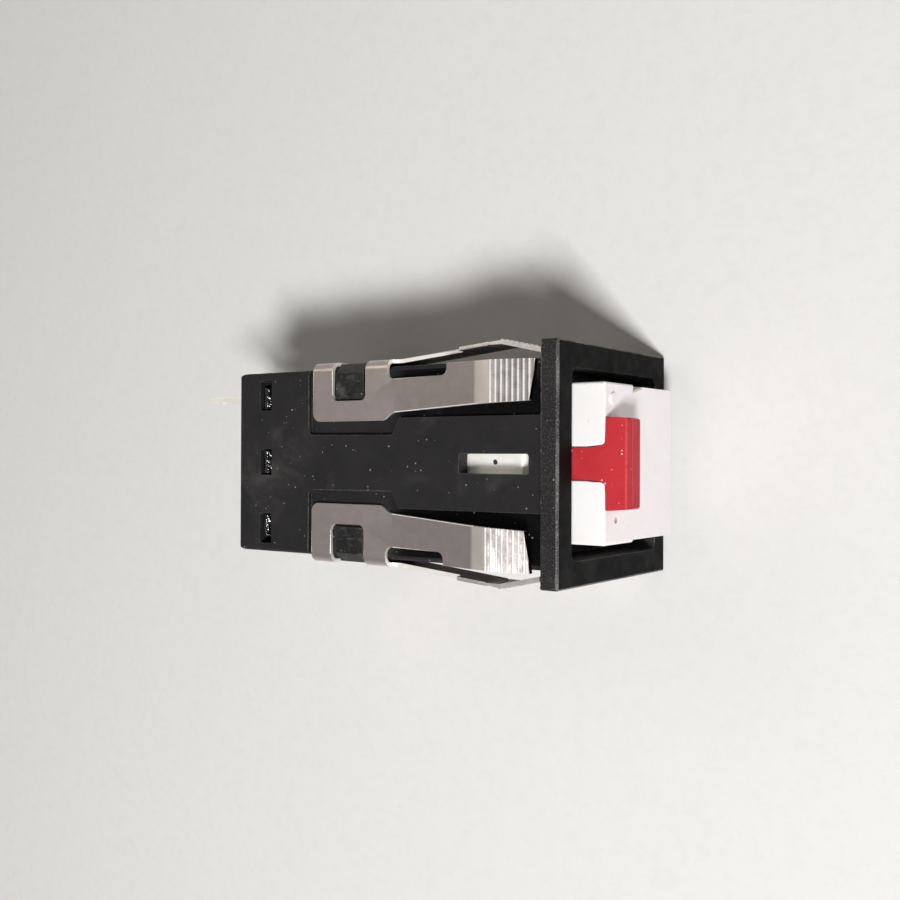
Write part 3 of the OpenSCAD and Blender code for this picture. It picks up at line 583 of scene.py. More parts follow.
@dataclass(frozen=True)
class RolledMetal:
    """Rolled sheet or drawn wire with streaks, faint stains and lighter edges, partly burnish and
    partly painted highlight.

    Attributes:
        base: Colour of the metal.
        stain: Colour of stains, streaks and pits.
        bright: Colour of the lighter edges, partly burnish and partly painted highlight, and of
            streaks.
        roughness: Mean roughness.
        spread: How far the roughness strays from its mean.
        grain: Direction of the streaks.
        streaks: Strength of the streaks.
        streak_depth: Depth of the streaks.
        mottle: Strength of the tarnished clouds.
        wear_and_edge_highlight: How far the edges are lightened, as burnish and as painted
            highlight.
        stains: Strength of the stains.
        metal: Share of the surface that reflects as bare metal.
        mark_at: Middle of a small round pressed mark.
        mark_r: Radius of the mark, or 0 for none.
        mark_painted_shade_colour: Colour of the painted shade inside the mark.
        mark_depth: Depth of the mark.
        lighter_from: Place along the switch where a lighter zone starts.
        lighter_to: Place where that zone is lighter in full.
        lightening: How far it is lightened, or 0 for no zone.
        lighter_colour: Colour of the lighter metal.
    """

    base: Colour
    stain: Colour
    bright: Colour
    roughness: float = 0.32
    spread: float = 0.07
    grain: Grain = Grain.ALONG_X
    streaks: float = 1.0
    streak_depth: float = 0.5 * UM
    mottle: float = 0.0
    wear_and_edge_highlight: float = 0.8
    stains: float = 0.5
    metal: float = 1.0
    mark_at: Point = (0.0, 0.0, 0.0)
    mark_r: float = 0.0
    mark_painted_shade_colour: Colour = (0.045, 0.048, 0.058)
    mark_depth: float = 60 * UM
    lighter_from: float = 0.0
    lighter_to: float = 0.0
    lightening: float = 0.0
    lighter_colour: Colour = (1.0, 0.91, 0.85)

    STREAK = Pattern(9000.0, 3.0, 0.6, 0.42, 0.7)
    BROAD = Pattern(1700.0, 2.0, 0.5, 0.3, 0.7)
    CLOUD = Pattern(900.0, 3.0, 0.6, 0.36, 0.66)
    STAIN = Pattern(420.0, 5.0, 0.6, 0.48, 0.72, warp=0.6)
    DENTS = Pattern(520.0, 2.0, 0.4)
    PITS = Specks(2600.0, 0.16, 0.05)
    STREAK_SHARE = 0.3
    BROAD_SHARE = 0.35
    PITS_SHOW = 0.7
    STREAK_SHEEN = (0.3, 0.7)
    STAIN_ROUGHENS = 0.16
    EDGE_WIDTH = 0.09 * MM
    DENT_DEPTH = 5 * UM
    MARK_RIM = 0.8

    def rolled(self, g: Graph, streak: bpy.types.NodeSocket,
               along: bpy.types.NodeSocket) -> bpy.types.NodeSocket:
        """Colour of the metal as it left the rolls, with broad and fine streaks.

        Args:
            g: Graph of the material.
            streak: Fine streaks from 0 to 1.
            along: Coordinates stretched along the grain.

        Returns:
            The colour.
        """
        broad = g.shown(self.BROAD, 0.0, self.BROAD_SHARE * self.streaks, along)
        fine = g.between(streak, self.STREAK.low, self.STREAK.high, 0.0,
                         self.STREAK_SHARE * self.streaks)
        return g.mix(fine, g.mix(broad, self.base, self.bright), self.stain)

    def make(self, name: str) -> bpy.types.Material:
        """Build the material.

        Args:
            name: Name of the material.

        Returns:
            The material.
        """
        g = Graph(name)
        along = g.stretched(self.grain.value)
        streak = g.noise(self.STREAK, along)
        colour = self.rolled(g, streak, along)
        colour = g.mix(g.shown(self.CLOUD, 0.0, self.mottle), colour, self.stain)
        stain = g.shown(self.STAIN, 0.0, self.stains)
        colour = g.mix(stain, colour, self.stain)
        # Lighter edges: partly burnish, partly painted highlight
        edge = g.sums("MULTIPLY", g.edge_wear_and_highlight_mask(self.EDGE_WIDTH), self.wear_and_edge_highlight)
        colour = g.mix(edge, colour, self.bright)
        pits = g.sums("MULTIPLY", g.specks(self.PITS, self.stains), self.PITS_SHOW)
        colour = g.mix(pits, colour, self.stain)
        rough = g.between(streak, *self.STREAK_SHEEN, self.roughness - self.spread,
                          self.roughness + self.spread)
        rough = g.sums("ADD", rough, g.sums("MULTIPLY", stain, self.STAIN_ROUGHENS), clamp=True)
        # Lighter towards the front, from one place along the switch
        if self.lightening:
            zone = g.between(g.along(), self.lighter_from, self.lighter_to, 0.0, self.lightening)
            colour = g.mix(zone, colour, self.lighter_colour)
        layers = [(streak, self.streak_depth), (g.noise(self.DENTS), self.DENT_DEPTH)]
        # The mark is a dimple in the bump and painted shade in the colour
        if self.mark_r:
            mark = g.between(g.reach(self.mark_at), self.MARK_RIM * self.mark_r, self.mark_r,
                             1.0, 0.0)
            colour = g.mix(mark, colour, self.mark_painted_shade_colour)
            layers.append((mark, -self.mark_depth))
        g.bump(*layers)
        g.shader.inputs["Metallic"].default_value = self.metal
        return g.finish(Base_Color=colour, Roughness=rough)


@dataclass(frozen=True)
class ClearGlass:
    """Clear lamp glass with a faint film.

    Attributes:
        base: Colour of the glass.
        roughness: Roughness where it is clean.
        film: How much the film adds to the roughness.
        tint: Darkening of the glass under its faint clouds.
        ior: Index of refraction.
    """

    base: Colour = (0.96, 0.975, 0.98)
    roughness: float = 0.03
    film: float = 0.12
    tint: float = 0.93
    ior: float = 1.5

    FILM = Pattern(700.0, 4.0, 0.6, 0.45, 0.8)
    CLOUD = Pattern(260.0, 3.0, 0.5, 0.45, 0.75)

    def make(self, name: str) -> bpy.types.Material:
        """Build the material.

        Args:
            name: Name of the material.

        Returns:
            The material.
        """
        g = Graph(name)
        film = g.shown(self.FILM, self.roughness, self.roughness + self.film)
        colour = g.mix(g.shown(self.CLOUD), self.base, tuple(self.tint * c for c in self.base))
        g.shader.inputs["Transmission Weight"].default_value = 1.0
        g.shader.inputs["IOR"].default_value = self.ior
        return g.finish(Base_Color=colour, Roughness=film)


@dataclass(frozen=True)
class PaleFloor:
    """Matt pale board that the switch lies on.

    Attributes:
        base: Colour of the board.
        fleck: Colour of its fine flecks.
        cloud: Darkening of the board under its faint clouds.
        flecks: Strength of the flecks.
        roughness: Roughness of the board.
        gloss: Level of the mirror reflection.
        tooth: Depth of its surface.
    """

    base: Colour = (0.70, 0.69, 0.675)
    fleck: Colour = (0.65, 0.64, 0.625)
    cloud: float = 0.985
    flecks: float = 0.5
    roughness: float = 0.8
    gloss: float = 0.3
    tooth: float = 12 * UM

    CLOUD = Pattern(14.0, 3.0, 0.5, 0.3, 0.75)
    FLECK = Pattern(900.0, 4.0, 0.65, 0.42, 0.72)
    TOOTH = Pattern(1600.0, 3.0, 0.6)

    def make(self, name: str) -> bpy.types.Material:
        """Build the material.

        Args:
            name: Name of the material.

        Returns:
            The material.
        """
        g = Graph(name)
        colour = g.mix(g.shown(self.CLOUD), self.base, tuple(self.cloud * c for c in self.base))
        colour = g.mix(g.shown(self.FLECK, 0.0, self.flecks), colour, self.fleck)
        g.bump((g.noise(self.TOOTH), self.tooth))
        g.shader.inputs["Specular IOR Level"].default_value = self.gloss
        return g.finish(Base_Color=colour, Roughness=self.roughness)


Finish = MouldedPlastic | RolledMetal | ClearGlass
Chooser = Callable[[Vector, Vector], bool]

FINISHES: dict[Slot, Finish] = {
    # The housing's lighter edges are partly wear and partly painted highlight
    Slot.BLACK_PLASTIC: MouldedPlastic(
        base=(0.0162, 0.0152, 0.0157), blotch=(0.0196, 0.0184, 0.0189),
        worn=(0.170, 0.165, 0.162), roughness=0.50, wear_and_edge_highlight=0.75, speckle=0.03, dust=1.0,
        gloss=0.10),
    Slot.BASE_PLASTIC: MouldedPlastic(
        base=(0.0095, 0.0090, 0.0092), blotch=(0.014, 0.0132, 0.0132),
        worn=(0.12, 0.115, 0.11), roughness=0.52, wear_and_edge_highlight=0.6, speckle=0.04, dust=0.7,
        gloss=0.3),
    Slot.WHITE_PLASTIC: MouldedPlastic(
        base=(0.868, 0.855, 0.842), blotch=(0.85, 0.83, 0.815), worn=(0.89, 0.88, 0.87),
        roughness=0.42, spread=0.06, wave_depth=5 * UM, grain_depth=0.6 * UM, wear_and_edge_highlight=0.3,
        dust=0.22, flecks=0.01, dust_colour=(0.50, 0.46, 0.42), subsurface=0.08),
    Slot.RED_PLASTIC: MouldedPlastic(
        base=(0.495, 0.032, 0.040), blotch=(0.455, 0.024, 0.032), worn=(0.60, 0.09, 0.095),
        roughness=0.36, spread=0.06, wave_depth=5 * UM, grain_depth=0.6 * UM, wear_and_edge_highlight=0.6,
        dust=0.5, flecks=0.20, dust_colour=(0.90, 0.80, 0.78), subsurface=0.05,
        gloss=0.18),
    Slot.NATURAL_NYLON: MouldedPlastic(
        base=(0.70, 0.665, 0.57), blotch=(0.66, 0.62, 0.51), worn=(0.76, 0.74, 0.68),
        roughness=0.40, wear_and_edge_highlight=0.3, dust=0.15, flecks=0.01, dust_colour=(0.40, 0.36, 0.30),
        subsurface=0.12),
    Slot.SPRING_STEEL: RolledMetal(
        base=(0.56, 0.49, 0.475), stain=(0.44, 0.375, 0.355), bright=(0.70, 0.65, 0.63),
        spread=0.025, streaks=0.12, streak_depth=0.03 * UM, mottle=0.32, wear_and_edge_highlight=0.4, stains=0.35,
        # The clips' steel is lighter towards the grip
        lighter_from=-6.5 * MM, lighter_to=-6.1 * MM, lightening=0.95),
    Slot.PLATED_METAL: RolledMetal(
        base=(0.93, 0.915, 0.875), stain=(0.74, 0.69, 0.58), bright=(0.96, 0.95, 0.93),
        roughness=0.62, spread=0.08, streaks=0.5, mottle=0.2, stains=0.5),
    Slot.CONTACT_BRASS: RolledMetal(
        base=(0.72, 0.53, 0.25), stain=(0.50, 0.32, 0.13), bright=(0.84, 0.68, 0.40),
        roughness=0.28, grain=Grain.ALONG_Z),
    Slot.SPRING_WIRE: RolledMetal(
        base=(0.52, 0.52, 0.53), stain=(0.36, 0.35, 0.35), bright=(0.70, 0.70, 0.70),
        roughness=0.30, grain=Grain.NONE, stains=0.3),
    Slot.CONTACT_SILVER: RolledMetal(
        base=(0.84, 0.83, 0.80), stain=(0.60, 0.56, 0.48), bright=(0.92, 0.91, 0.89),
        roughness=0.24, grain=Grain.NONE, stains=0.4),
    Slot.LAMP_GLASS: ClearGlass(),
}

# Finishes that cover only some faces of a piece
# Wide, light, speckled edges along the bezel: partly wear, partly painted highlight
BEZEL_SIDE = MouldedPlastic(
    base=(0.0105, 0.0098, 0.0101), blotch=(0.0150, 0.0140, 0.0143), worn=(0.34, 0.33, 0.325),
    roughness=0.50, grain_depth=4 * UM, speckle=0.22, wear_and_edge_highlight=0.9, dust=0.8, edge_width=0.2 * MM,
    gloss=0.2)
# Painted shade: the bezel's front is much darker than the housing's own black
BEZEL_FACE_PAINTED_SHADE = MouldedPlastic(
    base=(0.0034, 0.0032, 0.0033), blotch=(0.0052, 0.0049, 0.0050), worn=(0.10, 0.097, 0.095),
    roughness=0.52, grain_depth=3 * UM, speckle=0.02, wear_and_edge_highlight=0.6, dust=0.35, flecks=0.14,
    gloss=0.04)
# Partly wear, partly painted highlight: the bezel's rounded front edge is lighter and speckled
BEZEL_RIM_WEAR_AND_HIGHLIGHT = MouldedPlastic(
    base=(0.022, 0.021, 0.021), blotch=(0.10, 0.097, 0.096), worn=(0.40, 0.39, 0.385),
    roughness=0.50, grain_depth=4 * UM, speckle=0.7, wear_and_edge_highlight=0.5, dust=1.0, gloss=0.25)
SCUFFED_CATCH = MouldedPlastic(
    base=(0.0070, 0.0066, 0.0069), blotch=(0.0115, 0.0110, 0.0110), worn=(0.20, 0.195, 0.19),
    roughness=0.30, spread=0.1, speckle=0.03, wear_and_edge_highlight=0.9, dust=1.0, scuffs=0.24, gloss=0.35)
# Painted shade: the floors of the clips' recesses darken towards the front, under the legs
RECESS_PAINTED_SHADE = replace(
    FINISHES[Slot.BLACK_PLASTIC], dust=0.5, painted_shade_from=-17.2 * MM, painted_shade_to=-14.8 * MM,
    painted_shade_share=0.92, gloss=0.06)
# Glossy black, darkened further as painted shade so the latch windows look black
GLOSSY_LUG_PAINTED_SHADE = MouldedPlastic(
    base=(0.0016, 0.0015, 0.0016), blotch=(0.0028, 0.0026, 0.0027), worn=(0.06, 0.058, 0.056),
    roughness=0.13, spread=0.04, wave=Pattern(2600.0, 2.0, 0.45), wave_depth=150 * UM,
    grain_depth=1 * UM, speckle=0.02, wear_and_edge_highlight=0.7, dust=0.4, gloss=0.5)
# Painted shade: a grey spot in the moulding gate's dimple
GATE_PAINTED_SHADE = MouldedPlastic(
    base=(0.34, 0.32, 0.30), blotch=(0.44, 0.41, 0.38), worn=(0.60, 0.57, 0.54),
    roughness=0.6, speckle=0.3, wear_and_edge_highlight=0.3)
# Painted shade: the chip at the button's shoulder is brown-beige
CHIP_PAINTED_SHADE = MouldedPlastic(
    base=(0.50, 0.455, 0.385), blotch=(0.66, 0.61, 0.53), worn=(0.85, 0.82, 0.76),
    roughness=0.6, grain_depth=5 * UM, speckle=0.4, wear_and_edge_highlight=0.6)
# Painted shade: the front of the key's head is a darker red than its top
KEY_FRONT_PAINTED_SHADE = replace(
    FINISHES[Slot.RED_PLASTIC], base=(0.385, 0.019, 0.031), blotch=(0.34, 0.016, 0.026),
    worn=(0.52, 0.07, 0.08), dust=0.3, flecks=0.02, gloss=0.15)
# Painted shade: the button's front is a darker, pinker white than its top
BUTTON_FRONT_PAINTED_SHADE = replace(
    FINISHES[Slot.WHITE_PLASTIC], base=(0.81, 0.762, 0.775), blotch=(0.79, 0.74, 0.752))
# Painted shade: a dark round spot in the pressed mark on the strip's run
MARKED_STRIP = replace(
    FINISHES[Slot.PLATED_METAL], roughness=0.64, stains=0.35, metal=0.62,
    mark_at=(-6.2 * MM, 0.15 * MM, 0.0), mark_r=0.24 * MM)
# Cut walls and rims: bare steel, made lighter as painted highlight
CUT_STEEL_AND_HIGHLIGHT = RolledMetal(
    base=(0.90, 0.87, 0.82), stain=(0.74, 0.70, 0.66), bright=(0.95, 0.93, 0.90),
    roughness=0.55, spread=0.08, grain=Grain.NONE, streak_depth=0.4 * UM, mottle=0.3,
    metal=0.7)
# Painted highlight: the teeth's crests are much lighter than the steel
RIDGE_PAINTED_HIGHLIGHT = RolledMetal(
    base=(0.90, 0.87, 0.835), stain=(0.62, 0.57, 0.54), bright=(0.95, 0.93, 0.90),
    roughness=0.28, spread=0.08, grain=Grain.NONE, streak_depth=0.3 * UM, mottle=0.5)
VALLEY_STEEL = RolledMetal(
    base=(0.60, 0.55, 0.53), stain=(0.34, 0.30, 0.28), bright=(0.80, 0.76, 0.73),
    roughness=0.18, spread=0.035, grain=Grain.NONE, streak_depth=0.2 * UM, mottle=0.6)


class Paint:
    """Makes each finish once and puts it on pieces."""

    made: dict[str, bpy.types.Material] = {}

    @classmethod
    def ready(cls, name: str, finish: Finish) -> bpy.types.Material:
        """Make a finish, or take the one that was made under that name.

        Args:
            name: Name of the finish.
            finish: The finish.

        Returns:
            Its material.
        """
        if name not in cls.made:
            cls.made[name] = finish.make(name + "_finish")
        return cls.made[name]

    @classmethod
    def on(cls, piece: bpy.types.Object, slot: Slot) -> None:
        """Give a piece the finish of a slot.

        Args:
            piece: Piece to paint.
            slot: The record's material slot.
        """
        piece.data.materials.clear()
        piece.data.materials.append(cls.ready(slot.value, FINISHES[slot]))

    @classmethod
    def patch(cls, piece: bpy.types.Object, name: str, finish: Finish, covers: Chooser) -> None:
        """Give some faces of a painted piece a finish of their own.

        Args:
            piece: The piece.
            name: Name of the finish.
            finish: The finish.
            covers: Says of a face's middle and normal whether the face gets it.
        """
        piece.data.materials.append(cls.ready(name, finish))
        for face in piece.data.polygons:
            if covers(face.center, face.normal):
                face.material_index = len(piece.data.materials) - 1


# --------------------------------------------------------------------- modelling


def start_clean() -> None:
    """Leave edit mode and deselect everything."""
    if bpy.context.object and bpy.context.object.mode != "OBJECT":
        bpy.ops.object.mode_set(mode="OBJECT")
    bpy.ops.object.select_all(action="DESELECT")


def edit(piece: bpy.types.Object) -> None:
    """Open a piece in edit mode with everything selected.

    Args:
        piece: Piece to edit.
    """
    start_clean()
    piece.select_set(True)
    bpy.context.view_layer.objects.active = piece
    bpy.ops.object.mode_set(mode="EDIT")
    bpy.ops.mesh.select_mode(type="VERT")
    bpy.ops.mesh.select_all(action="SELECT")


def close(piece: bpy.types.Object) -> None:
    """Leave edit mode, shade shallow edges smooth and keep flat faces flat.

    Args:
        piece: Piece that is being edited.
    """
    bpy.ops.object.mode_set(mode="OBJECT")
    bpy.ops.object.shade_smooth_by_angle(angle=SMOOTH_WITHIN)
    flat = piece.modifiers.new("flat_faces", "WEIGHTED_NORMAL")
    flat.keep_sharp = True
    bpy.ops.object.modifier_apply(modifier=flat.name)


@dataclass(frozen=True)
class Rounding:
    """How the outer edges of a piece are rounded.

    Attributes:
        width: Width of the rounding.
        shortest: Length up to which an edge stays sharp.
        sharpest: Angle up to which an edge stays as it is.
        segments: Number of faces across the rounding.
    """

    width: float
    shortest: float = 0.4 * MM
    sharpest: float = math.radians(35)
    segments: int = 2


def rounded_copy(node: str, name: str, rounding: Rounding,
                 spare: Callable[[Vector], bool] | None = None) -> bpy.types.Object:
    """Copy a node, merge its faces and round its outer edges.

    Args:
        node: Node of the frame.
        name: Name of the new piece.
        rounding: How the edges are rounded.
        spare: Says of an edge's middle whether it stays sharp.

    Returns:
        The new piece, in place.
    """
    start_clean()
    source = frame["nodes"][node]
    source.select_set(True)
    bpy.context.view_layer.objects.active = source
    bpy.ops.object.duplicate()
    piece = bpy.context.view_layer.objects.active
    piece.name = name
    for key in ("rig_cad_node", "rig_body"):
        del piece[key]
    piece.parent = None
    edit(piece)
    bpy.ops.mesh.customdata_custom_splitnormals_clear()
    bpy.ops.mesh.remove_doubles(threshold=WELD)
    bpy.ops.mesh.dissolve_limited(angle_limit=FLAT_WITHIN)
    bpy.ops.mesh.select_all(action="DESELECT")
    bpy.ops.mesh.select_mode(type="EDGE")
    shell = bmesh.from_edit_mesh(piece.data)
    for edge in shell.edges:
        if not edge.is_manifold or not edge.is_convex:
            continue
        middle = (edge.verts[0].co + edge.verts[1].co) / 2
        edge.select_set(edge.calc_face_angle() > rounding.sharpest
                        and edge.calc_length() > rounding.shortest
                        and not (spare and spare(middle)))
    bmesh.update_edit_mesh(piece.data)
    bpy.ops.mesh.bevel(offset=rounding.width, segments=rounding.segments, profile=0.5,
                       affect="EDGES", clamp_overlap=False)
    close(piece)
    return piece


def turned(name: str, profile: list[Stop], steps: int = 48) -> bpy.types.Object:
    """Turn a closed piece about the X axis.

    Args:
        name: Name of the piece.
        profile: Points of (place along X, radius) in order.
        steps: Number of steps of the spin.

    Returns:
        The new piece, in place.
    """
    start_clean()
    first_x, first_r = profile[0]
    bpy.ops.mesh.primitive_plane_add(size=0.1 * MM, location=(first_x, 0.0, first_r))
    piece = bpy.context.object
    piece.name = name
    bpy.ops.object.transform_apply(location=True, rotation=True, scale=True)
    edit(piece)
    bpy.ops.mesh.merge(type="CENTER")
    for (x0, r0), (x1, r1) in zip(profile, profile[1:]):
        step = {"value": (x1 - x0, 0.0, r1 - r0)}
        bpy.ops.mesh.extrude_region_move(TRANSFORM_OT_translate=step)
    bpy.ops.mesh.select_all(action="SELECT")
    bpy.ops.mesh.spin(steps=steps, angle=math.tau, center=(0.0, 0.0, 0.0), axis=(1.0, 0.0, 0.0))
    bpy.ops.mesh.select_all(action="SELECT")
    bpy.ops.mesh.remove_doubles(threshold=TURNED_WELD)
    bpy.ops.mesh.normals_make_consistent(inside=False)
    close(piece)
    return piece


def arc(centre: Stop, radius: float, start: float, end: float, steps: int) -> list[Stop]:
    """Points along an arc of a turned profile.

    Args:
        centre: Place along X and radius of the arc's centre.
        radius: Radius of the arc.
        start: First angle in degrees, from +X towards the outside.
        end: Last angle in degrees.
        steps: Number of steps.

    Returns:
        The points.
    """
    x, r = centre
    turns = [math.radians(start + (end - start) * i / steps) for i in range(steps + 1)]
    return [(x + radius * math.cos(turn), r + radius * math.sin(turn)) for turn in turns]


# ------------------------------------------------------------------ sub-assemblies


@dataclass
class Assembly:
    """A group of pieces that are built and dressed together.

    Attributes:
        body: Body of the frame that its pieces ride on.
    """

    body: Body = Body.FRAME

    def join(self, piece: bpy.types.Object) -> None:
        """Make a piece move with the group's body."""
        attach(piece, self.body.value)

    def place(self, piece: bpy.types.Object, slot: Slot, *nodes: str) -> bpy.types.Object:
        """Dress a piece, put it on the body and hide the nodes it stands for.

        Args:
            piece: The piece.
            slot: Its material slot.
            *nodes: Nodes of the frame that it replaces.

        Returns:
            The piece.
        """
        Paint.on(piece, slot)
        self.join(piece)
        if nodes:
            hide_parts(*nodes)
        log.info("%s: %d faces on %s", piece.name, len(piece.data.polygons), self.body.value)
        return piece

    def rounded(self, node: str, slot: Slot, rounding: Rounding,
                spare: Callable[[Vector], bool] | None = None) -> bpy.types.Object:
        """Place a rounded copy of a node.

        Args:
            node: Node of the frame.
            slot: Its material slot.
            rounding: How its edges are rounded.
            spare: Says of an edge's middle whether it stays sharp.

        Returns:
            The piece.
        """
        return self.place(rounded_copy(node, node + "_finished", rounding, spare), slot, node)

    def build(self) -> None:
        """Build every piece of the group."""
        raise NotImplementedError


@dataclass
class Housing(Assembly):
    """Moulded housing with its bezel, and the base that closes its rear.

    Attributes:
        edge: Rounding of the housing.
        base_edge: Rounding of the base.
        seat_slack: How far behind the panel seat a face still counts as the bezel's.
        facing: Share of a normal along +X from which a face counts as the bezel's front.
        rim_slant: Share of a normal along +X from which a face counts as its rounded edge.
        rim_half: Half width beyond which the bezel's rounded edge lies.
        catch_from: Rear end of the catches.
        catch_to: Front end of the catches.
        catch_half: Least distance of a catch from both middle planes.
        recess_floor: Height just above the floors of the clips' recesses.
        recess_band: How far below that height the floors lie.
        square_on: Share of a normal from which a face counts as flat.
        plug_half: Half width beyond which the base has only its latch lugs.
    """

    edge: Rounding = Rounding(0.09 * MM)
    base_edge: Rounding = Rounding(0.08 * MM)
    seat_slack: float = 0.01 * MM
    facing: float = 0.93
    rim_slant: float = 0.15
    rim_half: float = 9.7 * MM
    catch_from: float = -23.6 * MM
    catch_to: float = -19.4 * MM
    catch_half: float = 5.9 * MM
    recess_floor: float = 8.36 * MM
    recess_band: float = 0.05 * MM
    square_on: float = 0.99
    plug_half: float = 7.55 * MM

    def is_bezel(self, middle: Vector, normal: Vector) -> bool:
        """Whether a face is on the bezel plate."""
        return middle.x > -self.seat_slack

    def is_face(self, middle: Vector, normal: Vector) -> bool:
        """Whether a face is on the front of the bezel."""
        return middle.x > 0.0 and normal.x > self.facing

    def is_rim(self, middle: Vector, normal: Vector) -> bool:
        """Whether a face is on the rounded front edge of the bezel."""
        outer = max(abs(middle.y), abs(middle.z)) > self.rim_half
        return middle.x > 0.0 and outer and self.rim_slant < normal.x <= self.facing

    def is_recess(self, middle: Vector, normal: Vector) -> bool:
        """Whether a face is on the floor of a clip's recess.

        Args:
            middle: Middle of the face.
            normal: Its normal.

        Returns:
            Whether it is.
        """
        height = max(abs(middle.y), abs(middle.z))
        flat = max(abs(normal.y), abs(normal.z)) > self.square_on
        on_floor = self.recess_floor - self.recess_band < height < self.recess_floor
        return middle.x < 0.0 and on_floor and flat

    def is_catch(self, middle: Vector, normal: Vector) -> bool:
        """Whether a face is on a catch that fills a clip's window.

        Args:
            middle: Middle of the face.
            normal: Its normal; not used.

        Returns:
            Whether it is.
        """
        low, high = sorted((abs(middle.y), abs(middle.z)))
        return (self.catch_from < middle.x < self.catch_to and low > self.catch_half
                and high > self.recess_floor)

    def is_lug(self, middle: Vector, normal: Vector) -> bool:
        """Whether a face is on a latch lug of the base."""
        return max(abs(middle.y), abs(middle.z)) > self.plug_half

    def build(self) -> None:
        """Build the housing and its base."""
        shell = self.rounded("housing", Slot.BLACK_PLASTIC, self.edge)
        # The bezel's edges are lighter: partly wear, partly painted highlight
        Paint.patch(shell, "bezel_side", BEZEL_SIDE, self.is_bezel)
        # The bezel's front gets painted shade
        Paint.patch(shell, "bezel_face_painted_shade", BEZEL_FACE_PAINTED_SHADE, self.is_face)
        # The bezel's rounded front edge: partly wear, partly painted highlight
        Paint.patch(shell, "bezel_rim_wear_and_highlight", BEZEL_RIM_WEAR_AND_HIGHLIGHT, self.is_rim)
        # The recess floors get painted shade in front of the legs' roots
        Paint.patch(shell, "recess_floor", RECESS_PAINTED_SHADE, self.is_recess)
        Paint.patch(shell, "scuffed_catch", SCUFFED_CATCH, self.is_catch)
        plug = self.rounded("terminal_base", Slot.BASE_PLASTIC, self.base_edge)
        # The latch lugs get painted shade
        Paint.patch(plug, "glossy_lug_painted_shade", GLOSSY_LUG_PAINTED_SHADE, self.is_lug)


@dataclass
class MountingClips(Assembly):
    """The two stamped clips with toothed spring legs.

    Attributes:
        edge: Rounding of the sheet's edges.
        teeth_from: Place beyond which edges stay sharp for the teeth.
        grip_from: Place where the teeth start.
        sheet_half: Height beyond which a face is on the upper or lower legs.
        bend_half: Distance from both middle planes beyond which a face is on a bend.
        square_on: Share of a normal from which a face counts as flat.
        across_leg: Share of a normal across a leg from which a face counts as cut.
        crest: Share of a normal from which a face counts as a tooth's crest.
    """

    edge: Rounding = Rounding(0.08 * MM, shortest=0.6 * MM, sharpest=math.radians(50))
    teeth_from: float = -6.4 * MM
    grip_from: float = -4.85 * MM
    sheet_half: float = 8.3 * MM
    bend_half: float = 8.0 * MM
    square_on: float = 0.95
    across_leg: float = 0.3
    crest: float = 0.92

    def is_cut(self, middle: Vector, normal: Vector) -> bool:
        """Whether a face is where the sheet was cut, or on its rounded rim.

        Args:
            middle: Middle of the face.
            normal: Its normal.

        Returns:
            Whether it is.
        """
        across, upright = abs(middle.y), abs(middle.z)
        if across > self.bend_half and upright > self.bend_half:
            return abs(normal.x) > 1.0 - self.across_leg
        on_top = upright > self.sheet_half
        if middle.x > self.grip_from:
            return abs(normal.y if on_top else normal.z) > self.across_leg
        return abs(normal.z if on_top else normal.y) < self.square_on

    def is_valley(self, middle: Vector, normal: Vector) -> bool:
        """Whether a face is on the toothed end of a leg."""
        return middle.x > self.grip_from and not self.is_cut(middle, normal)

    def is_ridge(self, middle: Vector, normal: Vector) -> bool:
        """Whether a face is on the flat crest of a tooth."""
        flat = max(abs(normal.y), abs(normal.z)) > self.crest
        return flat and self.is_valley(middle, normal)

    def is_toothed(self, middle: Vector) -> bool:
        """Whether an edge is among the teeth, which stay sharp."""
        return middle.x > self.teeth_from

    def build(self) -> None:
        """Build both clips, leaving their grip teeth sharp."""
        for node in ("clip_left", "clip_right"):
            clip = self.rounded(node, Slot.SPRING_STEEL, self.edge, self.is_toothed)
            # Cut walls and rims: bare steel with painted highlight
            Paint.patch(clip, "cut_steel_and_highlight", CUT_STEEL_AND_HIGHLIGHT, self.is_cut)
            Paint.patch(clip, "valley_steel", VALLEY_STEEL, self.is_valley)
            # The teeth's crests get painted highlight
            Paint.patch(clip, "ridge_painted_highlight", RIDGE_PAINTED_HIGHLIGHT, self.is_ridge)


@dataclass
class Feeds(Assembly):
    """Lamp strips and the switch's terminals with their fixed contacts."""

    strip_edge: Rounding = Rounding(0.05 * MM)
    rivet_edge: Rounding = Rounding(0.12 * MM, shortest=0.0, sharpest=math.radians(60))
    trough_half: float = 6.5 * MM

    def is_trough(self, middle: Vector, normal: Vector) -> bool:
        """Whether a face is on the run of a strip that the view slot shows."""
        return abs(middle.z) > self.trough_half

    def build(self) -> None:
        """Build the strips, terminals and fixed contacts."""
        for node in ("lamp_strip_upper", "lamp_strip_lower"):
            strip = self.rounded(node, Slot.PLATED_METAL, self.strip_edge)
            # The strips' runs get the mark with its painted shade
            Paint.patch(strip, "marked_strip", MARKED_STRIP, self.is_trough)
        for node in ("common_terminal", "open_terminal", "closed_terminal"):
            self.rounded(node, Slot.PLATED_METAL, self.strip_edge)
        for node in ("open_contact", "closed_contact"):
            self.rounded(node, Slot.CONTACT_SILVER, self.rivet_edge)


@dataclass
class SnapBlade(Assembly):
    """Moving blade with its contact rivet."""

    body: Body = Body.BLADE
    edge: Rounding = Rounding(0.04 * MM)
    rivet_edge: Rounding = Rounding(0.10 * MM, shortest=0.0, sharpest=math.radians(60))

    def build(self) -> None:
        """Build the blade and its contact."""
        self.rounded("snap_blade", Slot.CONTACT_BRASS, self.edge)
        self.rounded("blade_contact", Slot.CONTACT_SILVER, self.rivet_edge)


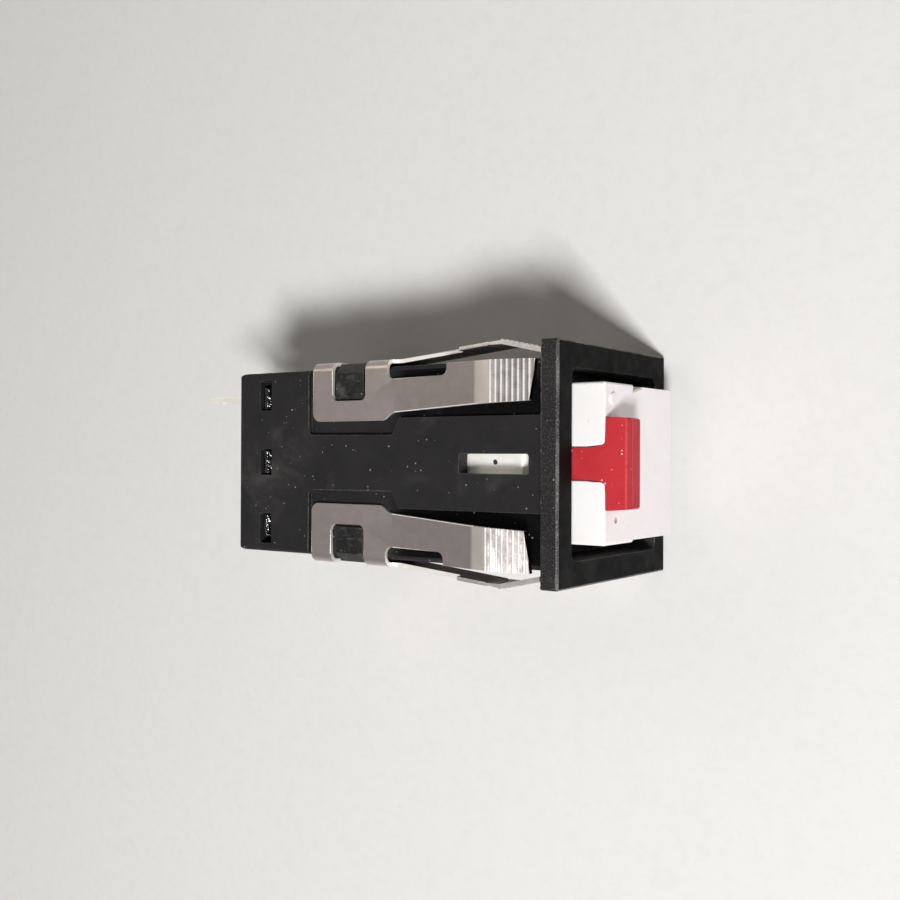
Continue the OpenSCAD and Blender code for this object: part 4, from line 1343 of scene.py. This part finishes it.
@dataclass
class Button(Assembly):
    """White button, its red key and the plunger behind them.

    Attributes:
        cap_edge: Rounding of the button.
        key_edge: Rounding of the key.
        plunger_edge: Rounding of the plunger.
        gate_at: Y and Z of the moulding gate's mark.
        gate_r: Radius within which its faces lie.
        gate_depth: Least depth of its faces behind the button's front.
        chip_depth: Reach of the chip behind the front.
        chip_width: Reach of the chip in from the side.
        chip_z: Height of the chip's middle.
        chip_half: Half height of the chip.
        chip_slant: Least share of the chip's normal along X and along Y.
        chip_square: Share of a normal along X from which a face is no chip.
        front_slant: Share of a normal along X from which a face counts as the front's.
        key_depth: Depth within which the front of the key's head lies.
        key_square: Share of a normal along X from which a face counts as that front.
    """

    body: Body = Body.PUSHER
    cap_edge: Rounding = Rounding(0.14 * MM, shortest=0.25 * MM)
    key_edge: Rounding = Rounding(0.12 * MM, shortest=0.2 * MM)
    plunger_edge: Rounding = Rounding(0.10 * MM)
    gate_at: tuple[float, float] = (-4.7 * MM, 4.6 * MM)
    gate_r: float = 0.4 * MM
    gate_depth: float = 0.01 * MM
    chip_depth: float = 1.0 * MM
    chip_width: float = 0.7 * MM
    chip_z: float = 0.9 * MM
    chip_half: float = 1.2 * MM
    chip_slant: float = 0.15
    chip_square: float = 0.97
    front_slant: float = 0.6
    key_depth: float = 0.3 * MM
    key_square: float = 0.9

    def is_gate(self, middle: Vector, normal: Vector) -> bool:
        """Whether a face is in the moulding gate's mark.

        Args:
            middle: Middle of the face.
            normal: Its normal; not used.

        Returns:
            Whether it is.
        """
        y, z = self.gate_at
        sunk = 0.0 < middle.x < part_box("button")[1].x - self.gate_depth
        return sunk and math.hypot(middle.y - y, middle.z - z) < self.gate_r

    def is_chip(self, middle: Vector, normal: Vector) -> bool:
        """Whether a face is the slanted chip at the shoulder's corner.

        Args:
            middle: Middle of the face.
            normal: Its normal.

        Returns:
            Whether it is.
        """
        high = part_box("button")[1]
        at_corner = (middle.x > high.x - self.chip_depth and middle.y > high.y - self.chip_width
                     and abs(middle.z - self.chip_z) < self.chip_half)
        return (at_corner and self.chip_slant < normal.x < self.chip_square
                and normal.y > self.chip_slant)

    def is_front(self, middle: Vector, normal: Vector) -> bool:
        """Whether a face is on the button's front."""
        return middle.x > 0.0 and normal.x > self.front_slant

    def is_key_front(self, middle: Vector, normal: Vector) -> bool:
        """Whether a face is on the front of the key's head."""
        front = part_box("button_key")[1].x
        return middle.x > front - self.key_depth and normal.x > self.key_square

    def build(self) -> None:
        """Build the button, the key and the plunger."""
        cap = self.rounded("button", Slot.WHITE_PLASTIC, self.cap_edge)
        # The button's front gets painted shade
        Paint.patch(cap, "button_front", BUTTON_FRONT_PAINTED_SHADE, self.is_front)
        # The gate's dimple gets painted shade
        Paint.patch(cap, "gate_painted_shade", GATE_PAINTED_SHADE, self.is_gate)
        # The chip at the shoulder gets painted shade
        Paint.patch(cap, "chip_painted_shade", CHIP_PAINTED_SHADE, self.is_chip)
        key = self.rounded("button_key", Slot.RED_PLASTIC, self.key_edge)
        # The key head's front gets painted shade
        Paint.patch(key, "key_front", KEY_FRONT_PAINTED_SHADE, self.is_key_front)
        self.rounded("plunger", Slot.NATURAL_NYLON, self.plunger_edge)


@dataclass
class Lamp(Assembly):
    """Flanged lamp and the two leaves that feed it.

    Places are measured forward from the lamp's rear.

    Attributes:
        rear: Place of the lamp's rear.
        length: Length of the lamp.
        bulb_r: Outer radius of the glass.
        glass_t: Thickness of the glass.
        glass_from: Place of the glass's rear end, inside the cap.
        shoulder: Length over which the outside of the glass widens to the bulb.
        inner_shoulder: The same length on the inside.
        cap_r: Outer radius of the cap.
        cap_t: Thickness of the cap.
        cap_from: Place of the cap's rear.
        cap_len: Place of the cap's mouth.
        cap_corner: Chamfer of the cap's rear edge.
        flange_r: Radius of the flange.
        flange_at: Place of the flange's middle.
        flange_t: Thickness of the flange.
        fillet_r: How far the foot of the flange is thickened.
        fillet_len: Length of that foot.
        beads: Places of the cap's grooves, as shares of the cap's length.
        bead_half: Half width of a groove.
        bead_depth: Depth of a groove.
        contact_r: Radius of the soldered end contact.
        insulator_t: How far the insulator reaches out past the contact.
        insulator_lip: How far its rear edge does.
        insulator_from: Place of its rear.
        insulator_to: Place of its front.
        contact_seat: Place of the bottom of its hollow.
        solder_rise: Height of the solder dome.
        solder_gap: Gap between the solder and the insulator.
        leaf_edge: Rounding of the leaves.
    """

    body: Body = Body.PUSHER
    rear: float = -12.8 * MM
    length: float = 13.4 * MM
    bulb_r: float = 2.8 * MM
    glass_t: float = 0.35 * MM
    glass_from: float = 1.6 * MM
    shoulder: float = 0.3 * MM
    inner_shoulder: float = 0.4 * MM
    cap_r: float = 2.75 * MM
    cap_t: float = 0.2 * MM
    cap_from: float = 0.2 * MM
    cap_len: float = 4.2 * MM
    cap_corner: float = 0.15 * MM
    flange_r: float = 3.4 * MM
    flange_at: float = 0.9 * MM
    flange_t: float = 0.5 * MM
    fillet_r: float = 0.05 * MM
    fillet_len: float = 0.1 * MM
    beads: tuple[float, ...] = (0.55, 0.8)
    bead_half: float = 0.12 * MM
    bead_depth: float = 0.1 * MM
    contact_r: float = 1.2 * MM
    insulator_t: float = 0.5 * MM
    insulator_lip: float = 0.35 * MM
    insulator_from: float = 0.12 * MM
    insulator_to: float = 1.2 * MM
    contact_seat: float = 0.4 * MM
    solder_rise: float = 0.3 * MM
    solder_gap: float = 0.02 * MM
    leaf_edge: Rounding = Rounding(0.04 * MM)

    def glass(self) -> None:
        """Turn the glass envelope, which reaches into the cap."""
        start = self.rear + self.glass_from
        mouth = self.rear + self.cap_len
        dome = self.rear + self.length - self.bulb_r
        neck = self.cap_r - 2 * self.cap_t
        inner = self.bulb_r - self.glass_t
        inner_neck = inner - 2 * self.cap_t
        profile = [(start, neck), (mouth, neck), (mouth + self.shoulder, self.bulb_r)]
        profile += arc((dome, 0.0), self.bulb_r, 90, 0, 12)
        profile += arc((dome, 0.0), inner, 0, 90, 12)
        profile += [(mouth + self.inner_shoulder, inner), (mouth, inner_neck),
                    (start, inner_neck), profile[0]]
        self.place(turned("lamp_glass", profile), Slot.LAMP_GLASS, "lamp")

    def cap(self) -> None:
        """Turn the cap with its rolled flange."""
        rear = self.rear + self.cap_from
        flange = self.rear + self.flange_at
        mouth = self.rear + self.cap_len
        half = self.flange_t / 2
        hole = self.contact_r + self.insulator_t
        inner = self.cap_r - self.cap_t
        profile = [(rear, hole), (rear, self.cap_r - self.cap_corner),
                   (rear + self.cap_corner, self.cap_r), (flange - half, self.cap_r)]
        profile += arc((flange, self.flange_r - half), half, 180, 0, 8)
        profile += [(flange + half, self.cap_r + self.fillet_r),
                    (flange + half + self.fillet_len, self.cap_r)]
        for bead in self.beads:
            at = self.rear + bead * self.cap_len
            profile += [(at - self.bead_half, self.cap_r), (at, self.cap_r - self.bead_depth),
                        (at + self.bead_half, self.cap_r)]
        profile += [(mouth, self.cap_r), (mouth, inner), (rear + self.cap_t, inner),
                    (rear + self.cap_t, hole), profile[0]]
        self.place(turned("lamp_cap", profile), Slot.PLATED_METAL)

    def end(self) -> None:
        """Turn the insulator and the soldered end contact."""
        outer = self.contact_r + self.insulator_t
        rear, front = self.rear + self.insulator_from, self.rear + self.insulator_to
        seat = self.rear + self.contact_seat
        ring = [(rear, self.contact_r), (rear, self.contact_r + self.insulator_lip),
                (self.rear + self.cap_from, outer), (front, outer), (front, 0.0), (seat, 0.0),
                (seat, self.contact_r), (rear, self.contact_r)]
        self.place(turned("lamp_insulator", ring), Slot.BASE_PLASTIC)
        dome_r = (self.contact_r ** 2 + self.solder_rise ** 2) / (2 * self.solder_rise)
        reach = math.degrees(math.asin(self.contact_r / dome_r))
        blob = arc((self.rear + dome_r, 0.0), dome_r, 180, 180 - reach, 6)
        blob += [(seat, self.contact_r - self.solder_gap), (seat, 0.0)]
        self.place(turned("lamp_end_contact", blob), Slot.PLATED_METAL)

    def build(self) -> None:
        """Build the lamp and its two contact leaves."""
        self.glass()
        self.cap()
        self.end()
        for node in ("lamp_contact_upper", "lamp_contact_lower"):
            self.rounded(node, Slot.CONTACT_BRASS, self.leaf_edge)


@dataclass
class ReturnSpring(Assembly):
    """Coil spring with a closed turn at each end.

    Attributes:
        start: Place of the spring's rear end.
        length: Length at rest.
        coil_r: Radius of the wire's middle.
        wire: Diameter of the wire.
        turns: Number of turns.
        closed_pitch: Pitch of the closed turns, as a multiple of the wire's diameter.
        wire_sides: Sides of the wire's section.
        steps: Steps of each turn.
    """

    start: float = -29.655 * MM
    length: float = 14.91 * MM
    coil_r: float = 2.875 * MM
    wire: float = 0.45 * MM
    turns: int = 9
    closed_pitch: float = 1.04
    wire_sides: int = 12
    steps: int = 36

    def join(self, piece: bpy.types.Object) -> None:
        """Bake the spring's place into its mesh, leaving it on no body."""
        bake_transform(piece)

    def rise(self, turn: float, pitch: float) -> float:
        """How far a ring moves from the plain screw, so that the end turns close.

        Args:
            turn: Turns from the start.
            pitch: Pitch of the plain screw.

        Returns:
            The move along X.
        """
        closed = self.closed_pitch * self.wire
        open_turns = self.turns - 2
        open_pitch = (self.length - 2 * closed) / open_turns
        first = closed * min(turn, 1.0)
        middle = open_pitch * min(max(turn - 1.0, 0.0), open_turns)
        last = closed * max(turn - (self.turns - 1), 0.0)
        return first + middle + last - pitch * turn

    def build(self) -> None:
        """Screw the wire's section along the coil and close the end turns."""
        start_clean()
        bpy.ops.mesh.primitive_circle_add(vertices=self.wire_sides, radius=self.wire / 2,
                                          location=(self.start, self.coil_r, 0.0))
        spring = bpy.context.object
        spring.name = "return_spring_coil"
        bpy.ops.object.transform_apply(location=True, rotation=True, scale=True)
        pitch = self.length / self.turns
        screw = spring.modifiers.new("coil", "SCREW")
        screw.axis = "X"
        screw.angle = math.tau
        screw.screw_offset = pitch
        screw.iterations = self.turns
        screw.steps = screw.render_steps = self.steps
        bpy.ops.object.modifier_apply(modifier=screw.name)
        for vertex in spring.data.vertices:
            ring = vertex.index // self.wire_sides
            vertex.co.x += self.rise(ring / self.steps, pitch)
        edit(spring)
        bpy.ops.mesh.fill_holes(sides=self.wire_sides)
        bpy.ops.mesh.select_all(action="SELECT")
        bpy.ops.mesh.normals_make_consistent(inside=False)
        close(spring)
        self.place(spring, Slot.SPRING_WIRE, "return_spring")


# -------------------------------------------------------------------------- studio


@dataclass
class Studio:
    """Floor, lamps, surroundings and camera.

    Attributes:
        floor_r: Radius of the floor.
        floor_sides: Number of its sides.
        key_from: Direction from the switch to the key lamp.
        key_size: Side of the key lamp.
        key_power: Its power in watts.
        glow_from: Direction from the switch to the lamp that lights the clips' bends.
        glow_size: Side of that lamp.
        glow_power: Its power in watts.
        glow_colour: Colour of its light.
        lamp_distance: Distance of both lamps from the switch.
        fill: Strength of the even light from all around.
        backdrop: Brightness that is seen around the scene, as pairs of height and level.
        backdrop_tint: Its tint.
        camera_at: Place of the camera.
        camera_turn: Turn of the camera about each axis, in degrees.
        lens: Focal length in millimetres.
        sensor: Width of the camera's sensor in millimetres.
        nearest: Distance from which the camera sees.
    """

    floor_r: float = 1.6
    floor_sides: int = 96
    key_from: Point = (0.49, -0.38, 0.785)
    key_size: float = 0.10
    key_power: float = 3.15
    glow_from: Point = (-0.52, 0.44, 0.73)
    glow_size: float = 0.20
    glow_power: float = 0.22
    glow_colour: Colour = (1.0, 0.90, 0.72)
    lamp_distance: float = 0.5
    fill: float = 0.13
    backdrop: tuple[Stop, ...] = (
        (0.0, 0.70), (0.3, 0.46), (0.58, 0.31), (0.8, 0.33), (0.93, 0.72), (1.0, 0.90))
    backdrop_tint: Colour = (1.0, 0.995, 0.985)
    camera_at: Point = (44.410 * MM, 0.649 * MM, 85.247 * MM)
    camera_turn: Point = (0.4868, 35.3775, 0.2889)
    lens: float = 43.23
    sensor: float = 36.0
    nearest: float = 1.0 * MM

    def floor(self) -> None:
        """Lay the floor at the lowest point of the switch."""
        start_clean()
        bpy.ops.mesh.primitive_circle_add(vertices=self.floor_sides, radius=self.floor_r,
                                          fill_type="NGON", location=(0.0, 0.0, CAD_BOX[0].z))
        floor = bpy.context.object
        floor.name = "floor"
        bpy.ops.object.transform_apply(location=True, rotation=True, scale=True)
        floor.data.materials.append(PaleFloor().make("pale_floor"))

    def lamp(self, name: str, toward: Point, size: float, power: float,
             colour: Colour = (1.0, 1.0, 1.0)) -> None:
        """Add a square area lamp that shines at the switch.

        Args:
            name: Name of the lamp.
            toward: Direction from the switch to the lamp.
            size: Side of the lamp.
            power: Power in watts.
            colour: Colour of its light.
        """
        middle = (CAD_BOX[0] + CAD_BOX[1]) / 2
        ray = Vector(toward).normalized()
        bpy.ops.object.light_add(type="AREA", location=middle + ray * self.lamp_distance)
        lamp = bpy.context.object
        lamp.name = name
        lamp.rotation_euler = (-ray).to_track_quat("-Z", "Y").to_euler()
        lamp.data.size = size
        lamp.data.energy = power
        lamp.data.color = colour

    def shown_backdrop(self, tree: bpy.types.NodeTree) -> bpy.types.NodeSocket:
        """Shade the surroundings by height, pale at the horizon and overhead.

        Args:
            tree: Node tree of the world.

        Returns:
            The backdrop's shader.
        """
        place = tree.nodes.new("ShaderNodeTexCoord")
        split = tree.nodes.new("ShaderNodeSeparateXYZ")
        ramp = tree.nodes.new("ShaderNodeValToRGB")
        stops = ramp.color_ramp.elements
        for height, _ in self.backdrop[1:-1]:
            stops.new(height)
        for stop, (_, level) in zip(stops, self.backdrop):
            stop.color = (*(tint * level for tint in self.backdrop_tint), 1.0)
        shown = tree.nodes.new("ShaderNodeBackground")
        tree.links.new(place.outputs["Generated"], split.inputs[0])
        tree.links.new(split.outputs["Z"], ramp.inputs[0])
        tree.links.new(ramp.outputs[0], shown.inputs["Color"])
        return shown.outputs[0]

    def sees_backdrop(self, tree: bpy.types.NodeTree) -> bpy.types.NodeSocket:
        """Find the rays that see the backdrop: the camera's, mirrored and passing ones.

        Args:
            tree: Node tree of the world.

        Returns:
            A value that is 1 for those rays.
        """
        path = tree.nodes.new("ShaderNodeLightPath")
        seen = path.outputs["Is Camera Ray"]
        for key in ("Is Glossy Ray", "Is Transmission Ray"):
            either = tree.nodes.new("ShaderNodeMath")
            either.operation = "MAXIMUM"
            tree.links.new(seen, either.inputs[0])
            tree.links.new(path.outputs[key], either.inputs[1])
            seen = either.outputs[0]
        return seen

    def surroundings(self) -> None:
        """Light the scene evenly, and show a backdrop to the camera and to shiny pieces."""
        world = bpy.data.worlds.new("surroundings")
        bpy.context.scene.world = world
        world.use_nodes = True
        tree = world.node_tree
        even = tree.nodes["Background"]
        even.inputs["Color"].default_value = (1.0, 1.0, 1.0, 1.0)
        even.inputs["Strength"].default_value = self.fill
        choose = tree.nodes.new("ShaderNodeMixShader")
        tree.links.new(self.sees_backdrop(tree), choose.inputs[0])
        tree.links.new(even.outputs[0], choose.inputs[1])
        tree.links.new(self.shown_backdrop(tree), choose.inputs[2])
        tree.links.new(choose.outputs[0], tree.nodes["World Output"].inputs["Surface"])

    def camera(self) -> None:
        """Place the camera."""
        bpy.ops.object.camera_add(location=self.camera_at)
        camera = bpy.context.object
        camera.rotation_euler = Euler([math.radians(turn) for turn in self.camera_turn])
        camera.data.lens = self.lens
        camera.data.sensor_width = self.sensor
        camera.data.clip_start = self.nearest
        bpy.context.scene.camera = camera

    def build(self) -> None:
        """Build the floor, lamps, surroundings and camera."""
        start_clean()
        self.floor()
        self.lamp("key_lamp", self.key_from, self.key_size, self.key_power)
        self.lamp("glow_lamp", self.glow_from, self.glow_size, self.glow_power,
                  self.glow_colour)
        self.surroundings()
        self.camera()
        bpy.context.scene.view_settings.view_transform = "Standard"
        log.info("studio ready")


def main() -> None:
    """Build the switch and the studio."""
    logging.basicConfig(level=logging.INFO, format="%(name)s: %(message)s")
    for group in (Housing(), MountingClips(), Feeds(), SnapBlade(), Button(), Lamp(),
                  ReturnSpring()):
        group.build()
    Studio().build()


if __name__ == "__main__":
    main()
